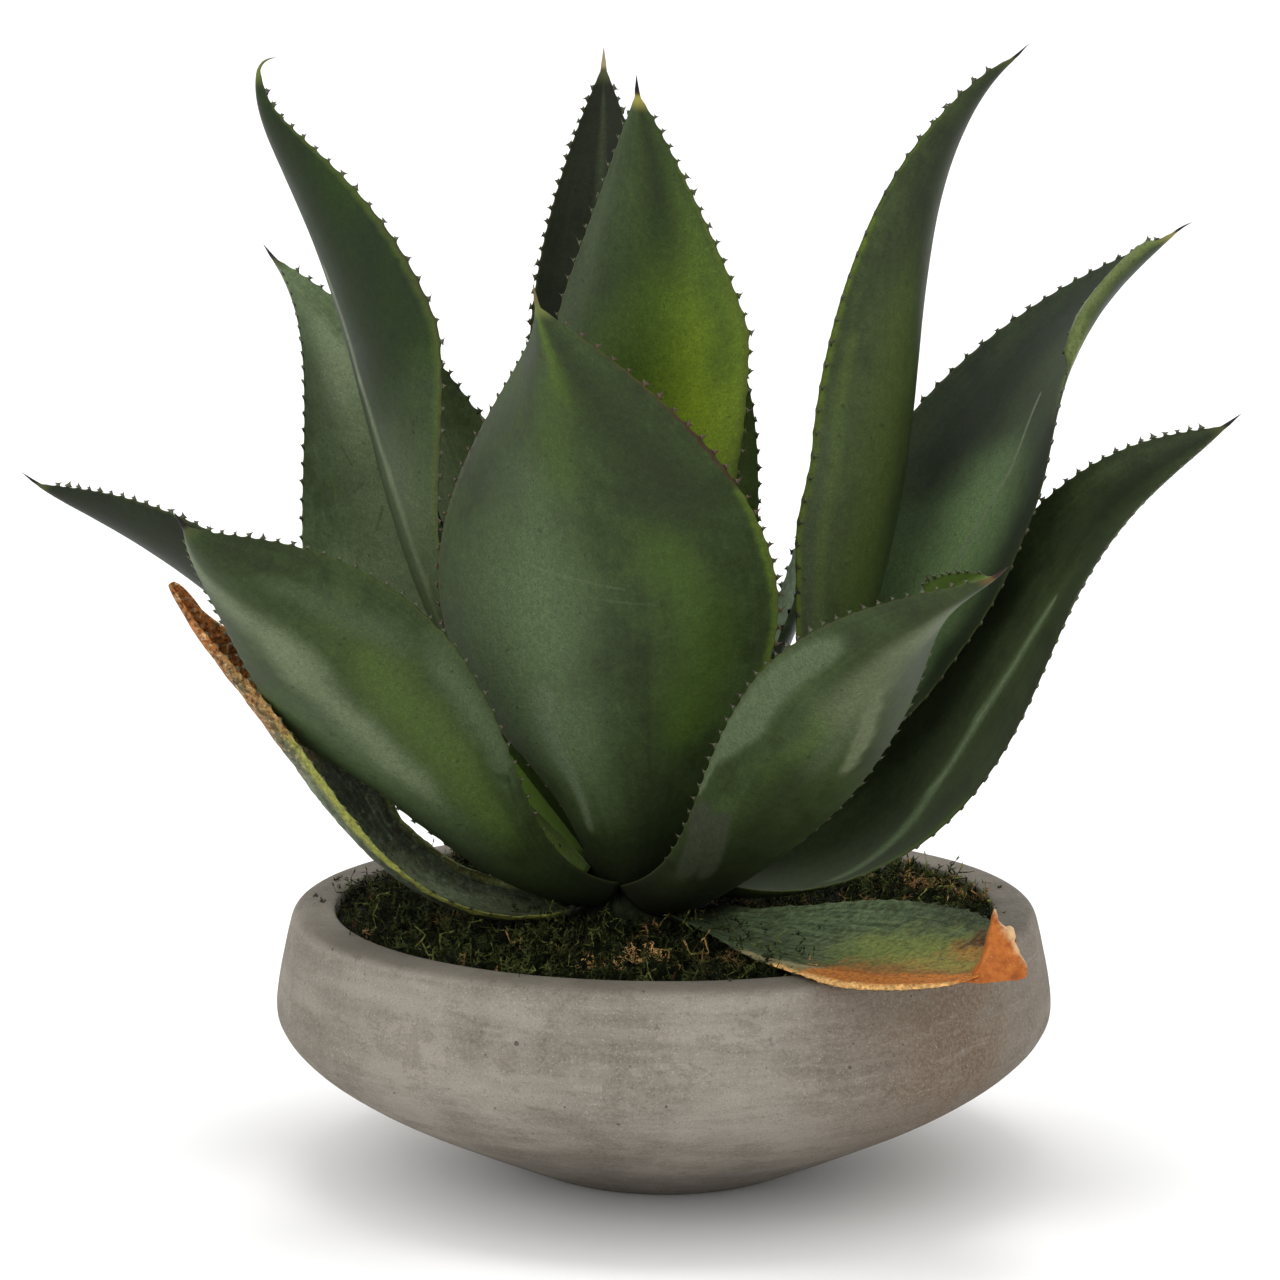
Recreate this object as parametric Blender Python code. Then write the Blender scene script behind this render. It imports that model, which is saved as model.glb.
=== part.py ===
"""Potted agave: turned concrete bowl, soil, moss, crown and one body for every leaf."""
import math

import bmesh
import bpy
from mathutils import Vector

MM = 0.001

# Pot, turned about the Z axis, radius and height in millimetres
POT_TURNS = 56
POT_OUTSIDE = [(74, 0), (80, 2), (110, 15), (144, 30.5), (176, 46), (205, 64), (223, 80), (231, 93),
               (232.5, 102), (231, 116), (224, 150), (221.5, 157), (217.5, 160)]
POT_INSIDE = [(198.5, 160), (196, 157.5), (196, 104), (184, 80), (150, 56), (60, 26)]

# Soil that fills the pot, with a plain hole for the root
SOIL_TURNS = 48
SOIL_GAP = 0.4
SOIL_WALL_GAP = 0.7
SOIL_TOP = 146

# Moss on the soil
MOSS_TURNS = 40
MOSS_RINGS = 8
MOSS_INNER_R = 47.5
MOSS_OUTER_R = 195.2
MOSS_HEIGHT = 8
MOSS_SWELL = 1.8

# Crown that the leaves spring from, and its root in the soil
CROWN_X = -14
CROWN_TURNS = 24
CROWN_FOOT_Z = 152
CROWN_FOOT_R = 46
CROWN_TAPER = 0.55
CROWN_TOP_Z = 222
CROWN_TIP_Z = 232
CROWN_SKIRT = 5
CROWN_SOIL_GAP = 0.8
ROOT_R = 34
ROOT_Z = 96

# Blade
COLUMNS = (-1, -0.62, -0.3, 0, 0.3, 0.62, 1)
PATH_STEPS = 240
SEAT_GAP = 0.4
RIM_THICK = 1.5
TIP_THICK = 1.8
THICK_SHARE = 0.8
THICK_FALL = 0.8
SHOULDER_POWER = 1.6
CURL_POWER = 14

# Marginal teeth, placed along each row of the blade
TOOTH_PLACES = (0.27, 0.77)
TOOTH_BASE = 5.0
TOOTH_LENGTH = 4.0
TOOTH_LEAN = 1.6
TOOTH_FROM = 0.2

# Form shared by all leaves unless a leaf states its own
COMMON = {
    "length": 450, "width": 130, "rise": (45, 55, 65, 50), "swing": (0, 0, 0, 0), "roll": (0, 0, 0, 0),
    "cup": (40, 35, 35, 50), "belly": 0.5, "taper": 1.75, "curl": 0, "foot": 30, "thick": 8,
    "rows": 11, "tip": 2.4, "spine": 14,
}

LEAVES = {
    "tall_left": {
        "heading": 148, "seat": 196, "length": 522, "width": 195,
        "belly": 0.65, "taper": 1.12, "curl": 87, "foot": 54, "thick": 7,
        "rise": (43, 37, 132, 15), "swing": (0, 2, 16, 14),
        "roll": (0, -13, 55, 18), "cup": (40, 51, 79, 54)},
    "tall_right": {
        "heading": 362, "seat": 193, "length": 526, "width": 169,
        "belly": 0.55, "taper": 1.6, "curl": -13, "foot": 41, "thick": 7,
        "rise": (31, 76, 113, 54), "swing": (0, 0, -8, -2),
        "roll": (0, 0, -21, -2), "cup": (40, 59, 73, 62)},
    "left_back": {
        "heading": 135, "seat": 188, "length": 444, "width": 216,
        "belly": 0.44, "taper": 1.1, "curl": -3.06, "foot": 56, "thick": 7,
        "rise": (46, 35, 70, 48), "swing": (0, 0, -4, 13),
        "roll": (0, -47, -19, -2), "cup": (40, 31, 26, 55)},
    "left_low": {
        "heading": 172, "seat": 178, "length": 406, "width": 140,
        "belly": 0.51, "taper": 2.2, "curl": 25, "foot": 46, "thick": 7,
        "rise": (35, 26, 59, 8), "swing": (0, -3, -13, 3),
        "roll": (0, 56, 12, 18), "cup": (40, 36, 45, 64)},
    "left_front": {
        "heading": 219, "seat": 173, "length": 403, "width": 121,
        "belly": 0.56, "taper": 1.67, "curl": 27, "foot": 39, "thick": 7,
        "rise": (7, 73, 49, 19), "swing": (0, 9, 3, 14),
        "roll": (0, 42, 40, 35), "cup": (40, 25, 27, 58)},
    "front": {
        "heading": 257, "seat": 180, "length": 391, "width": 215,
        "belly": 0.54, "taper": 1.99, "curl": 12, "foot": 49, "thick": 7,
        "rise": (43, 83, 74, 63), "swing": (0, 0, 7, -36),
        "roll": (0, 5, -13, -5), "cup": (40, 17, 28, 52)},
    "front_upright": {
        "heading": 272, "seat": 210, "length": 451, "width": 120,
        "belly": 0.68, "taper": 1.17, "curl": -12, "foot": 42, "thick": 7,
        "rise": (79, 79, 78, 74), "swing": (0, 5, -4, -10),
        "roll": (0, -5, -18, -20), "cup": (40, 35, 29, 35)},
    "back_upright": {
        "heading": 113, "seat": 222, "length": 435, "width": 110,
        "belly": 0.51, "taper": 1.78, "curl": -4, "foot": 44, "thick": 7,
        "rise": (79, 77, 83, 96), "swing": (0, 2, -4, -7),
        "roll": (0, 4, -20, -19), "cup": (40, 41, 35, 38)},
    "back_right_upright": {
        "heading": 62, "seat": 211, "length": 296, "width": 60,
        "belly": 0.53, "taper": 1.48, "curl": 40, "foot": 38, "thick": 7,
        "rise": (58, 65, 68, 84), "swing": (0, -3, -4, -12),
        "roll": (0, 30, 16, 14), "cup": (40, 35, 33, 30)},
    "right_back": {
        "heading": 4, "seat": 186, "length": 479, "width": 183,
        "belly": 0.58, "taper": 1.53, "curl": 18, "foot": 41, "thick": 7,
        "rise": (29, 59, 92, 25), "swing": (0, 7, 8, -21),
        "roll": (0, 32, 28, 5), "cup": (40, 12, 12, 35)},
    "right_low": {
        "heading": -14, "seat": 180, "length": 435, "width": 129,
        "belly": 0.54, "taper": 1.8, "curl": 33, "foot": 50, "thick": 7,
        "rise": (-11, 65, 100, 4), "swing": (0, 3, -4, 8),
        "roll": (0, 64, 17, 33), "cup": (40, 12, 11, 40)},
    "right_inner_back": {
        "heading": 42, "seat": 203, "length": 264, "width": 59,
        "belly": 0.46, "taper": 1.7, "curl": -6, "foot": 34, "thick": 7,
        "rise": (39, 41, 76, 71), "swing": (0, -7, 1, 6),
        "roll": (0, -39, -43, -13), "cup": (40, 30, 32, 53)},
    "right_front": {
        "heading": 292, "seat": 171, "length": 430, "width": 99,
        "belly": 0.59, "taper": 1.76, "curl": 15, "foot": 36, "thick": 7,
        "rise": (13, 49, 54, 17), "swing": (0, 6, 1, 21),
        "roll": (0, -37, -25, 9), "cup": (40, 30, 38, 69)},
    "left_inner_back": {
        "heading": 142, "seat": 205, "length": 337, "width": 88,
        "belly": 0.57, "taper": 2.01, "curl": 27, "foot": 43, "thick": 7,
        "rise": (42, 72, 61, 66), "swing": (0, 6, 0, 5),
        "roll": (0, 5, -11, -3), "cup": (40, 37, 42, 50)},
    "back_low": {
        "heading": 93, "seat": 177, "length": 378, "width": 150,
        "belly": 0.5, "taper": 1.75, "curl": -1.52, "foot": 40, "thick": 7,
        "rise": (46, 52, 57, 42), "swing": (0, -4, -5, -9),
        "roll": (0, 0, 0, 0), "cup": (40, 35, 35, 50)},
    "back_left_low": {
        "heading": 109, "seat": 168, "length": 312, "width": 120,
        "belly": 0.5, "taper": 1.75, "curl": 0.73, "foot": 42, "thick": 7,
        "rise": (36, 51, 57, 45), "swing": (0, -1, -2, -3),
        "roll": (0, 0, 0, 0), "cup": (40, 35, 35, 50)},
    "old_left": {
        "heading": 206, "seat": 161, "length": 321, "width": 65,
        "belly": 0.4, "taper": 1.75, "curl": 24, "foot": 35, "thick": 4, "tip": 4,
        "rise": (-3, 38, 80, 34), "swing": (0, -1, 3, -8),
        "roll": (0, -61, -39, -72), "cup": (40, 39, 56, 60)},
    "old_right": {
        "heading": 308, "seat": 161, "length": 282, "width": 101,
        "belly": 0.59, "taper": 2.55, "curl": 10, "foot": 32, "thick": 4, "tip": 9,
        "rise": (-1, 8, 3, 4), "swing": (0, -1, 1, 6),
        "roll": (0, 19, 14, 18), "cup": (30, 19, 16, 12)},
}

WITHERING_LEAVES = ("old_left", "old_right")

# Colours
GREEN = (0.05, 0.10, 0.045, 1)
DRIED = (0.30, 0.26, 0.06, 1)
CONCRETE = (0.30, 0.28, 0.25, 1)
SOIL = (0.03, 0.022, 0.015, 1)
MOSS = (0.03, 0.04, 0.012, 1)
PALE_GREEN = (0.20, 0.28, 0.10, 1)


def clear_scene():
    for item in list(bpy.data.objects):
        bpy.data.objects.remove(item, do_unlink=True)


def material(name, colour, roughness):
    made = bpy.data.materials.new(name)
    made.use_nodes = True
    shader = made.node_tree.nodes["Principled BSDF"]
    shader.inputs["Base Color"].default_value = colour
    shader.inputs["Roughness"].default_value = roughness
    return made


def add_body(name, points, faces, colour, roughness):
    """One closed body with its faces turned outward."""
    mesh = bpy.data.meshes.new(name)
    mesh.from_pydata([point * MM for point in points], [], faces)
    work = bmesh.new()
    work.from_mesh(mesh)
    bmesh.ops.recalc_face_normals(work, faces=work.faces)
    bmesh.ops.triangulate(work, faces=work.faces)
    work.to_mesh(mesh)
    work.free()
    mesh.materials.append(material(name + "_material", colour, roughness))
    body = bpy.data.objects.new(name, mesh)
    bpy.context.scene.collection.objects.link(body)
    return body


def ring(centre_x, radius, height, turns):
    points = []
    for step in range(turns):
        angle = 2 * math.pi * step / turns
        points.append(Vector((centre_x + radius * math.cos(angle), radius * math.sin(angle), height)))
    return points


def strip(first, second, turns):
    """Quads between two rings of points, given by the index of each first point."""
    faces = []
    for step in range(turns):
        after = (step + 1) % turns
        faces.append((first + step, first + after, second + after, second + step))
    return faces


def turned(rings, turns, start, end):
    """Loft through rings, closed at both ends by a centre point."""
    points = [Vector(start)]
    for centre_x, radius, height in rings:
        points.extend(ring(centre_x, radius, height, turns))
    faces = []
    for index in range(len(rings) - 1):
        faces.extend(strip(1 + index * turns, 1 + (index + 1) * turns, turns))
    last = len(points)
    points.append(Vector(end))
    for step in range(turns):
        after = (step + 1) % turns
        faces.append((0, 1 + after, 1 + step))
        faces.append((last, last - turns + step, last - turns + after))
    return points, faces


def build_pot():
    rings = [(0, radius, height) for radius, height in POT_OUTSIDE + POT_INSIDE]
    floor = POT_INSIDE[-1][1]
    points, faces = turned(rings, POT_TURNS, (0, 0, 0), (0, 0, floor))
    add_body("pot", points, faces, CONCRETE, 0.85)


def build_soil():
    wall = [(0, radius - SOIL_WALL_GAP, height + SOIL_GAP) for radius, height in reversed(POT_INSIDE[2:])]
    hole_r = ROOT_R + SOIL_GAP
    hole_z = ROOT_Z - SOIL_GAP
    top = [(0, wall[-1][1], SOIL_TOP), (CROWN_X, hole_r, SOIL_TOP), (CROWN_X, hole_r, hole_z)]
    points, faces = turned(wall + top, SOIL_TURNS, (0, 0, wall[0][2]), (CROWN_X, 0, hole_z))
    add_body("soil", points, faces, SOIL, 0.95)


def moss_height(across, angle):
    swell = math.sin(3 * angle + 2 * across) + math.sin(7 * angle - 5 * across) + math.sin(23 * across)
    return SOIL_TOP + SOIL_GAP + MOSS_HEIGHT + swell * MOSS_SWELL / 3


def build_moss():
    """Low cushion from the crown to the wall of the pot."""
    points = []
    for number in range(MOSS_RINGS):
        across = number / (MOSS_RINGS - 1)
        radius = MOSS_INNER_R + (MOSS_OUTER_R - MOSS_INNER_R) * across
        for point in ring(CROWN_X * (1 - across), radius, 0, MOSS_TURNS):
            point.z = moss_height(across, math.atan2(point.y, point.x))
            points.append(point)
    foot = len(points)
    points.extend(ring(0, MOSS_OUTER_R, SOIL_TOP + SOIL_GAP, MOSS_TURNS))
    points.extend(ring(CROWN_X, MOSS_INNER_R, SOIL_TOP + SOIL_GAP, MOSS_TURNS))
    faces = []
    for number in range(MOSS_RINGS - 1):
        faces.extend(strip(number * MOSS_TURNS, (number + 1) * MOSS_TURNS, MOSS_TURNS))
    faces.extend(strip(foot - MOSS_TURNS, foot, MOSS_TURNS))
    faces.extend(strip(foot, foot + MOSS_TURNS, MOSS_TURNS))
    faces.extend(strip(foot + MOSS_TURNS, 0, MOSS_TURNS))
    add_body("moss", points, faces, MOSS, 0.95)


def crown_radius(height):
    return CROWN_FOOT_R - CROWN_TAPER * (height - CROWN_FOOT_Z)


def build_crown():
    root = [(CROWN_X, ROOT_R, ROOT_Z), (CROWN_X, ROOT_R, SOIL_TOP + CROWN_SOIL_GAP)]
    skirt = [(CROWN_X, CROWN_FOOT_R, CROWN_FOOT_Z - CROWN_SKIRT), (CROWN_X, CROWN_FOOT_R, CROWN_FOOT_Z)]
    rings = root + skirt + [(CROWN_X, crown_radius(CROWN_TOP_Z), CROWN_TOP_Z)]
    points, faces = turned(rings, CROWN_TURNS, (CROWN_X, 0, ROOT_Z), (CROWN_X, 0, CROWN_TIP_Z))
    add_body("crown", points, faces, PALE_GREEN, 0.6)


def blend(values, share):
    """Smooth curve through four values, from the foot to the tip of a leaf."""
    rest = 1 - share
    weights = (rest ** 3, 3 * rest * rest * share, 3 * rest * share * share, share ** 3)
    return sum(weight * value for weight, value in zip(weights, values))


class Leaf:
    """Blade that follows a rising path out of the crown."""

    def __init__(self, form):
        self.form = {**COMMON, **form}
        self.trace = self.walk()

    def axes(self, share):
        rise = math.radians(blend(self.form["rise"], share) + self.form["curl"] * share ** CURL_POWER)
        heading = math.radians(self.form["heading"] + blend(self.form["swing"], share))
        roll = math.radians(blend(self.form["roll"], share))
        flat = Vector((math.cos(heading), math.sin(heading), 0))
        along = flat * math.cos(rise) + Vector((0, 0, math.sin(rise)))
        level = Vector((-math.sin(heading), math.cos(heading), 0))
        upward = along.cross(level)
        side = level * math.cos(roll) + upward * math.sin(roll)
        return along, side, along.cross(side)

    def walk(self):
        heading = math.radians(self.form["heading"])
        seat = self.form["seat"]
        slope = math.radians(self.form["rise"][0])
        under = self.form["thick"] * THICK_SHARE + TIP_THICK
        below = crown_radius(seat - under * math.cos(slope)) - under * math.sin(slope)
        radius = max(crown_radius(seat), below) + SEAT_GAP
        here = Vector((CROWN_X + radius * math.cos(heading), radius * math.sin(heading), seat))
        trace = [here]
        for step in range(PATH_STEPS):
            along = self.axes((step + 0.5) / PATH_STEPS)[0]
            here = here + along * self.form["length"] / PATH_STEPS
            trace.append(here)
        return trace

    def middle(self, share):
        place = share * PATH_STEPS
        low = min(int(place), PATH_STEPS - 1)
        return self.trace[low].lerp(self.trace[low + 1], place - low)

    def half_width(self, share):
        tip = self.form["tip"]
        full = self.form["width"] / 2 - tip
        low = (self.form["foot"] / 2 - tip) / full
        belly = self.form["belly"]
        if share < belly:
            part = low + (1 - low) * math.sin(share / belly * math.pi / 2) ** SHOULDER_POWER
        else:
            part = 1 - ((share - belly) / (1 - belly)) ** self.form["taper"]
        return tip + full * part

    def faces_at(self, share, across):
        """Upper and lower point of the blade, and the way outward across it."""
        along, side, up = self.axes(share)
        cup = math.radians(blend(self.form["cup"], share))
        turn = cup * across
        radius = self.half_width(share) / cup
        normal = up * math.cos(turn) - side * math.sin(turn)
        outward = (side * math.cos(turn) + up * math.sin(turn)) * (1 if across > 0 else -1)
        upper = self.middle(share) + side * radius * math.sin(turn) + up * radius * (1 - math.cos(turn))
        body = TIP_THICK + self.form["thick"] * THICK_SHARE * (1 - share) ** THICK_FALL
        thick = RIM_THICK + max(body - RIM_THICK, 0) * (1 - across * across)
        return upper, upper - normal * thick, outward


class BladeMesh:
    """Collects the points and faces of one leaf."""

    def __init__(self, leaf):
        self.leaf = leaf
        self.points = []
        self.faces = []
        self.rows = leaf.form["rows"]

    def add(self, point):
        self.points.append(point)
        return len(self.points) - 1

    def pair(self, share, across):
        upper, lower, _ = self.leaf.faces_at(share, across)
        return self.add(upper), self.add(lower)

    def build(self):
        grid = [[self.pair(row / self.rows, across) for across in COLUMNS] for row in range(self.rows + 1)]
        last = len(COLUMNS) - 1
        for row in range(self.rows):
            for column in range(1, last - 1):
                self.panel(grid, row, column)
            self.margin(grid, row, 0, 1)
            self.margin(grid, row, last, last - 1)
        self.foot(grid[0])
        self.spine(grid[-1])
        return self.points, self.faces

    def panel(self, grid, row, column):
        corners = (grid[row][column], grid[row + 1][column], grid[row + 1][column + 1], grid[row][column + 1])
        for face in (0, 1):
            a, b, c, d = (corner[face] for corner in corners)
            self.faces.extend([(a, b, c), (a, c, d)])

    def margin(self, grid, row, edge, inner):
        """Edge strip of one row, with its teeth standing on the rim."""
        across = COLUMNS[edge]
        line = [grid[row][edge]]
        teeth = []
        half = TOOTH_BASE / 2 / self.leaf.form["length"]
        for place in TOOTH_PLACES:
            share = (row + place) / self.rows
            if share > TOOTH_FROM:
                teeth.append((len(line), share))
                line.append(self.pair(share - half, across))
                line.append(self.pair(share + half, across))
        line.append(grid[row + 1][edge])
        self.fan(line, grid[row][inner], grid[row + 1][inner])
        self.rim(line, dict(teeth), across)

    def fan(self, line, near, far):
        middle = len(line) // 2 - 1 if len(line) > 2 else 0
        for face in (0, 1):
            for index in range(len(line) - 1):
                root = near[face] if index <= middle else far[face]
                self.faces.append((root, line[index][face], line[index + 1][face]))
            self.faces.append((near[face], line[middle + 1][face], far[face]))

    def rim(self, line, teeth, across):
        for index in range(len(line) - 1):
            a, b = line[index]
            d, c = line[index + 1]
            if index in teeth:
                apex = self.tooth(teeth[index], across)
                self.faces.extend([(a, b, apex), (b, c, apex), (c, d, apex), (d, a, apex)])
            else:
                self.faces.extend([(a, b, c), (a, c, d)])

    def tooth(self, share, across):
        upper, lower, outward = self.leaf.faces_at(share, across)
        along = self.leaf.axes(share)[0]
        root = (upper + lower) / 2
        return self.add(root + outward * TOOTH_LENGTH + along * TOOTH_LEAN)

    def foot(self, row):
        for column in range(len(COLUMNS) - 1):
            a, b = row[column]
            d, c = row[column + 1]
            self.faces.extend([(a, b, c), (a, c, d)])

    def spine(self, row):
        along, side, up = self.leaf.axes(1)
        apex = self.add(self.leaf.trace[-1] + along * self.leaf.form["spine"])
        ring_points = [pair[0] for pair in row] + [pair[1] for pair in reversed(row)]
        for index, here in enumerate(ring_points):
            self.faces.append((here, ring_points[(index + 1) % len(ring_points)], apex))


def build_leaves():
    for name, form in LEAVES.items():
        points, faces = BladeMesh(Leaf(form)).build()
        colour = DRIED if name in WITHERING_LEAVES else GREEN
        add_body("leaf_" + name, points, faces, colour, 0.5)


def main():
    clear_scene()
    build_pot()
    build_soil()
    build_moss()
    build_crown()
    build_leaves()


main()
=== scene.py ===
"""Looks of the potted agave: finer leaves, teeth, moss, bowl, materials, light and camera."""
import math
import random

import bmesh
import bpy
from mathutils import Matrix, Vector, noise


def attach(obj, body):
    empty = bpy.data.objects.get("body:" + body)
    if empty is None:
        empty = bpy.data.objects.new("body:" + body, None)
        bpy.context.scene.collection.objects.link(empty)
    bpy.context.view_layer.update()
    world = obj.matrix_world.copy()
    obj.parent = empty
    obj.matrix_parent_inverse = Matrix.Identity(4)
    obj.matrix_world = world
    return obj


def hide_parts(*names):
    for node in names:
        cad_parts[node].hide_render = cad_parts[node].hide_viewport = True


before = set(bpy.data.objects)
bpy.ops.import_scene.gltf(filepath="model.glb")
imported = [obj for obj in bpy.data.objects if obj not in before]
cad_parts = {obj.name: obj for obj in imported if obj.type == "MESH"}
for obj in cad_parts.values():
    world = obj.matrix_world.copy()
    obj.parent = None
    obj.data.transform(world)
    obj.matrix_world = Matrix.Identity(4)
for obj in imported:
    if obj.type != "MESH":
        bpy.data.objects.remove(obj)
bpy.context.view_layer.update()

MM = 0.001
BODY = "root"

# Bowl, radius and height in millimetres
BOWL_OUTSIDE = [(74, 0), (80, 2), (110, 15), (144, 30.5), (176, 46), (205, 64), (223, 80), (231, 93),
                (232.5, 102), (231, 116), (224, 150), (221.5, 157), (217.5, 160)]
BOWL_INSIDE = [(198.5, 160), (196, 157.5), (196, 104), (184, 80), (150, 56), (60, 26)]
BOWL_TURNS = 192

# Moss
MOSS_FLOOR = 146.4
MOSS_TOP = 154.2
MOSS_INNER_R = 47.5
MOSS_OUTER_R = 195.2

# Crown
CROWN_X = -14
CROWN_FOOT_Z = 152
CROWN_FOOT_R = 46
CROWN_TAPER = 0.55
CROWN_PROFILE = [(34, 96), (34, 146.8), (46, 147), (46, 152), (7.5, 222), (1, 231)]

# Blade rule, the same as in the part
PATH_STEPS = 240
SEAT_GAP = 0.4
RIM_THICK = 1.5
TIP_THICK = 1.8
THICK_SHARE = 0.8
THICK_FALL = 0.8
SHOULDER_POWER = 1.6
CURL_POWER = 14
SPINE_ROWS = 8
ROWS_PER_TOOTH = 4
# How much closer the rows stand at the tip than at the foot
CROWDING = 0.35
AROUND = 44

FOLD_RADIUS = 2.2
TOOTH_BASE = 2.0
# The foot of a blade flares over this share of its length
FLARED_SHARE = 0.3

COMMON = {"thick": 7, "tip": 1.5, "spine": 14, "spine_bend": 0, "spacing": 11.6, "tooth": 4.8, "scallop": 1.4,
          "stop": 1,
          "pucker": 0.6, "ripple": 1, "flare": 12, "trim": (0, 0, 1, 1, 0),
          "fold_plus": (0, 0, 1, 1, 0, 0), "fold_minus": (0, 0, 1, 1, 0, 0)}

# What the finer leaf adds to the form of the solid one. A fold is where it starts, is full, starts to end
# and ends, then its width as a share of the half width, and how far it turns, up or down. A trim narrows
# the blade from its plus margin in the same four places, by the share in its last number
FINER = {
    "tall_left": {"spine_bend": 75, "spacing": 13.5},
    "front": {"flare": 7, "spacing": 10.5, "tooth": 5.8, "trim": (0, 0.07, 0.15, 0.34, 0.34)},
    "front_upright": {"spacing": 12.4},
    "back_upright": {"spacing": 9.5},
    "left_front": {"flare": 9, "trim": (0.12, 0.27, 0.36, 0.52, 0.4)},
    "left_back": {"flare": 30},
    "right_inner_back": {"flare": 26},
    "right_front": {"fold_plus": (0.76, 0.84, 0.95, 1, 0.6, 80)},
    "right_back": {"fold_minus": (0.78, 0.87, 0.97, 1, 0.42, 158), "spine_bend": -25,
                   "trim": (0.3, 0.42, 0.56, 0.7, 0.15)},
    "right_low": {"spacing": 9.6},
    "left_low": {"flare": 22, "spacing": 9.6},
    "tall_right": {"fold_minus": (0.16, 0.3, 0.8, 0.93, 0.06, -120), "spacing": 13.5,
                   "trim": (0.2, 0.36, 0.42, 0.55, -0.12)},
    "old_left": {"flare": 3, "tooth": 1.8, "scallop": 1.5, "pucker": 2.2, "ripple": 4, "blunt": True,
                 "spine": 22,
                 "taper": 2.9, "tip": 9, "cup": (40, 45, 90, 135), "trim": (0.08, 0.25, 0.4, 0.55, 0.42),
                 "fold_minus": (0.1, 0.25, 0.4, 0.6, 0.25, 150)},
    "old_right": {"flare": 3, "tooth": 1.3, "scallop": 0.9, "pucker": 1.8, "ripple": 3, "blunt": True,
                  "spine": 5, "stop": 0.93,
                  "fold_minus": (0.5, 0.7, 0.9, 1, 0.1, -80)},
}

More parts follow.
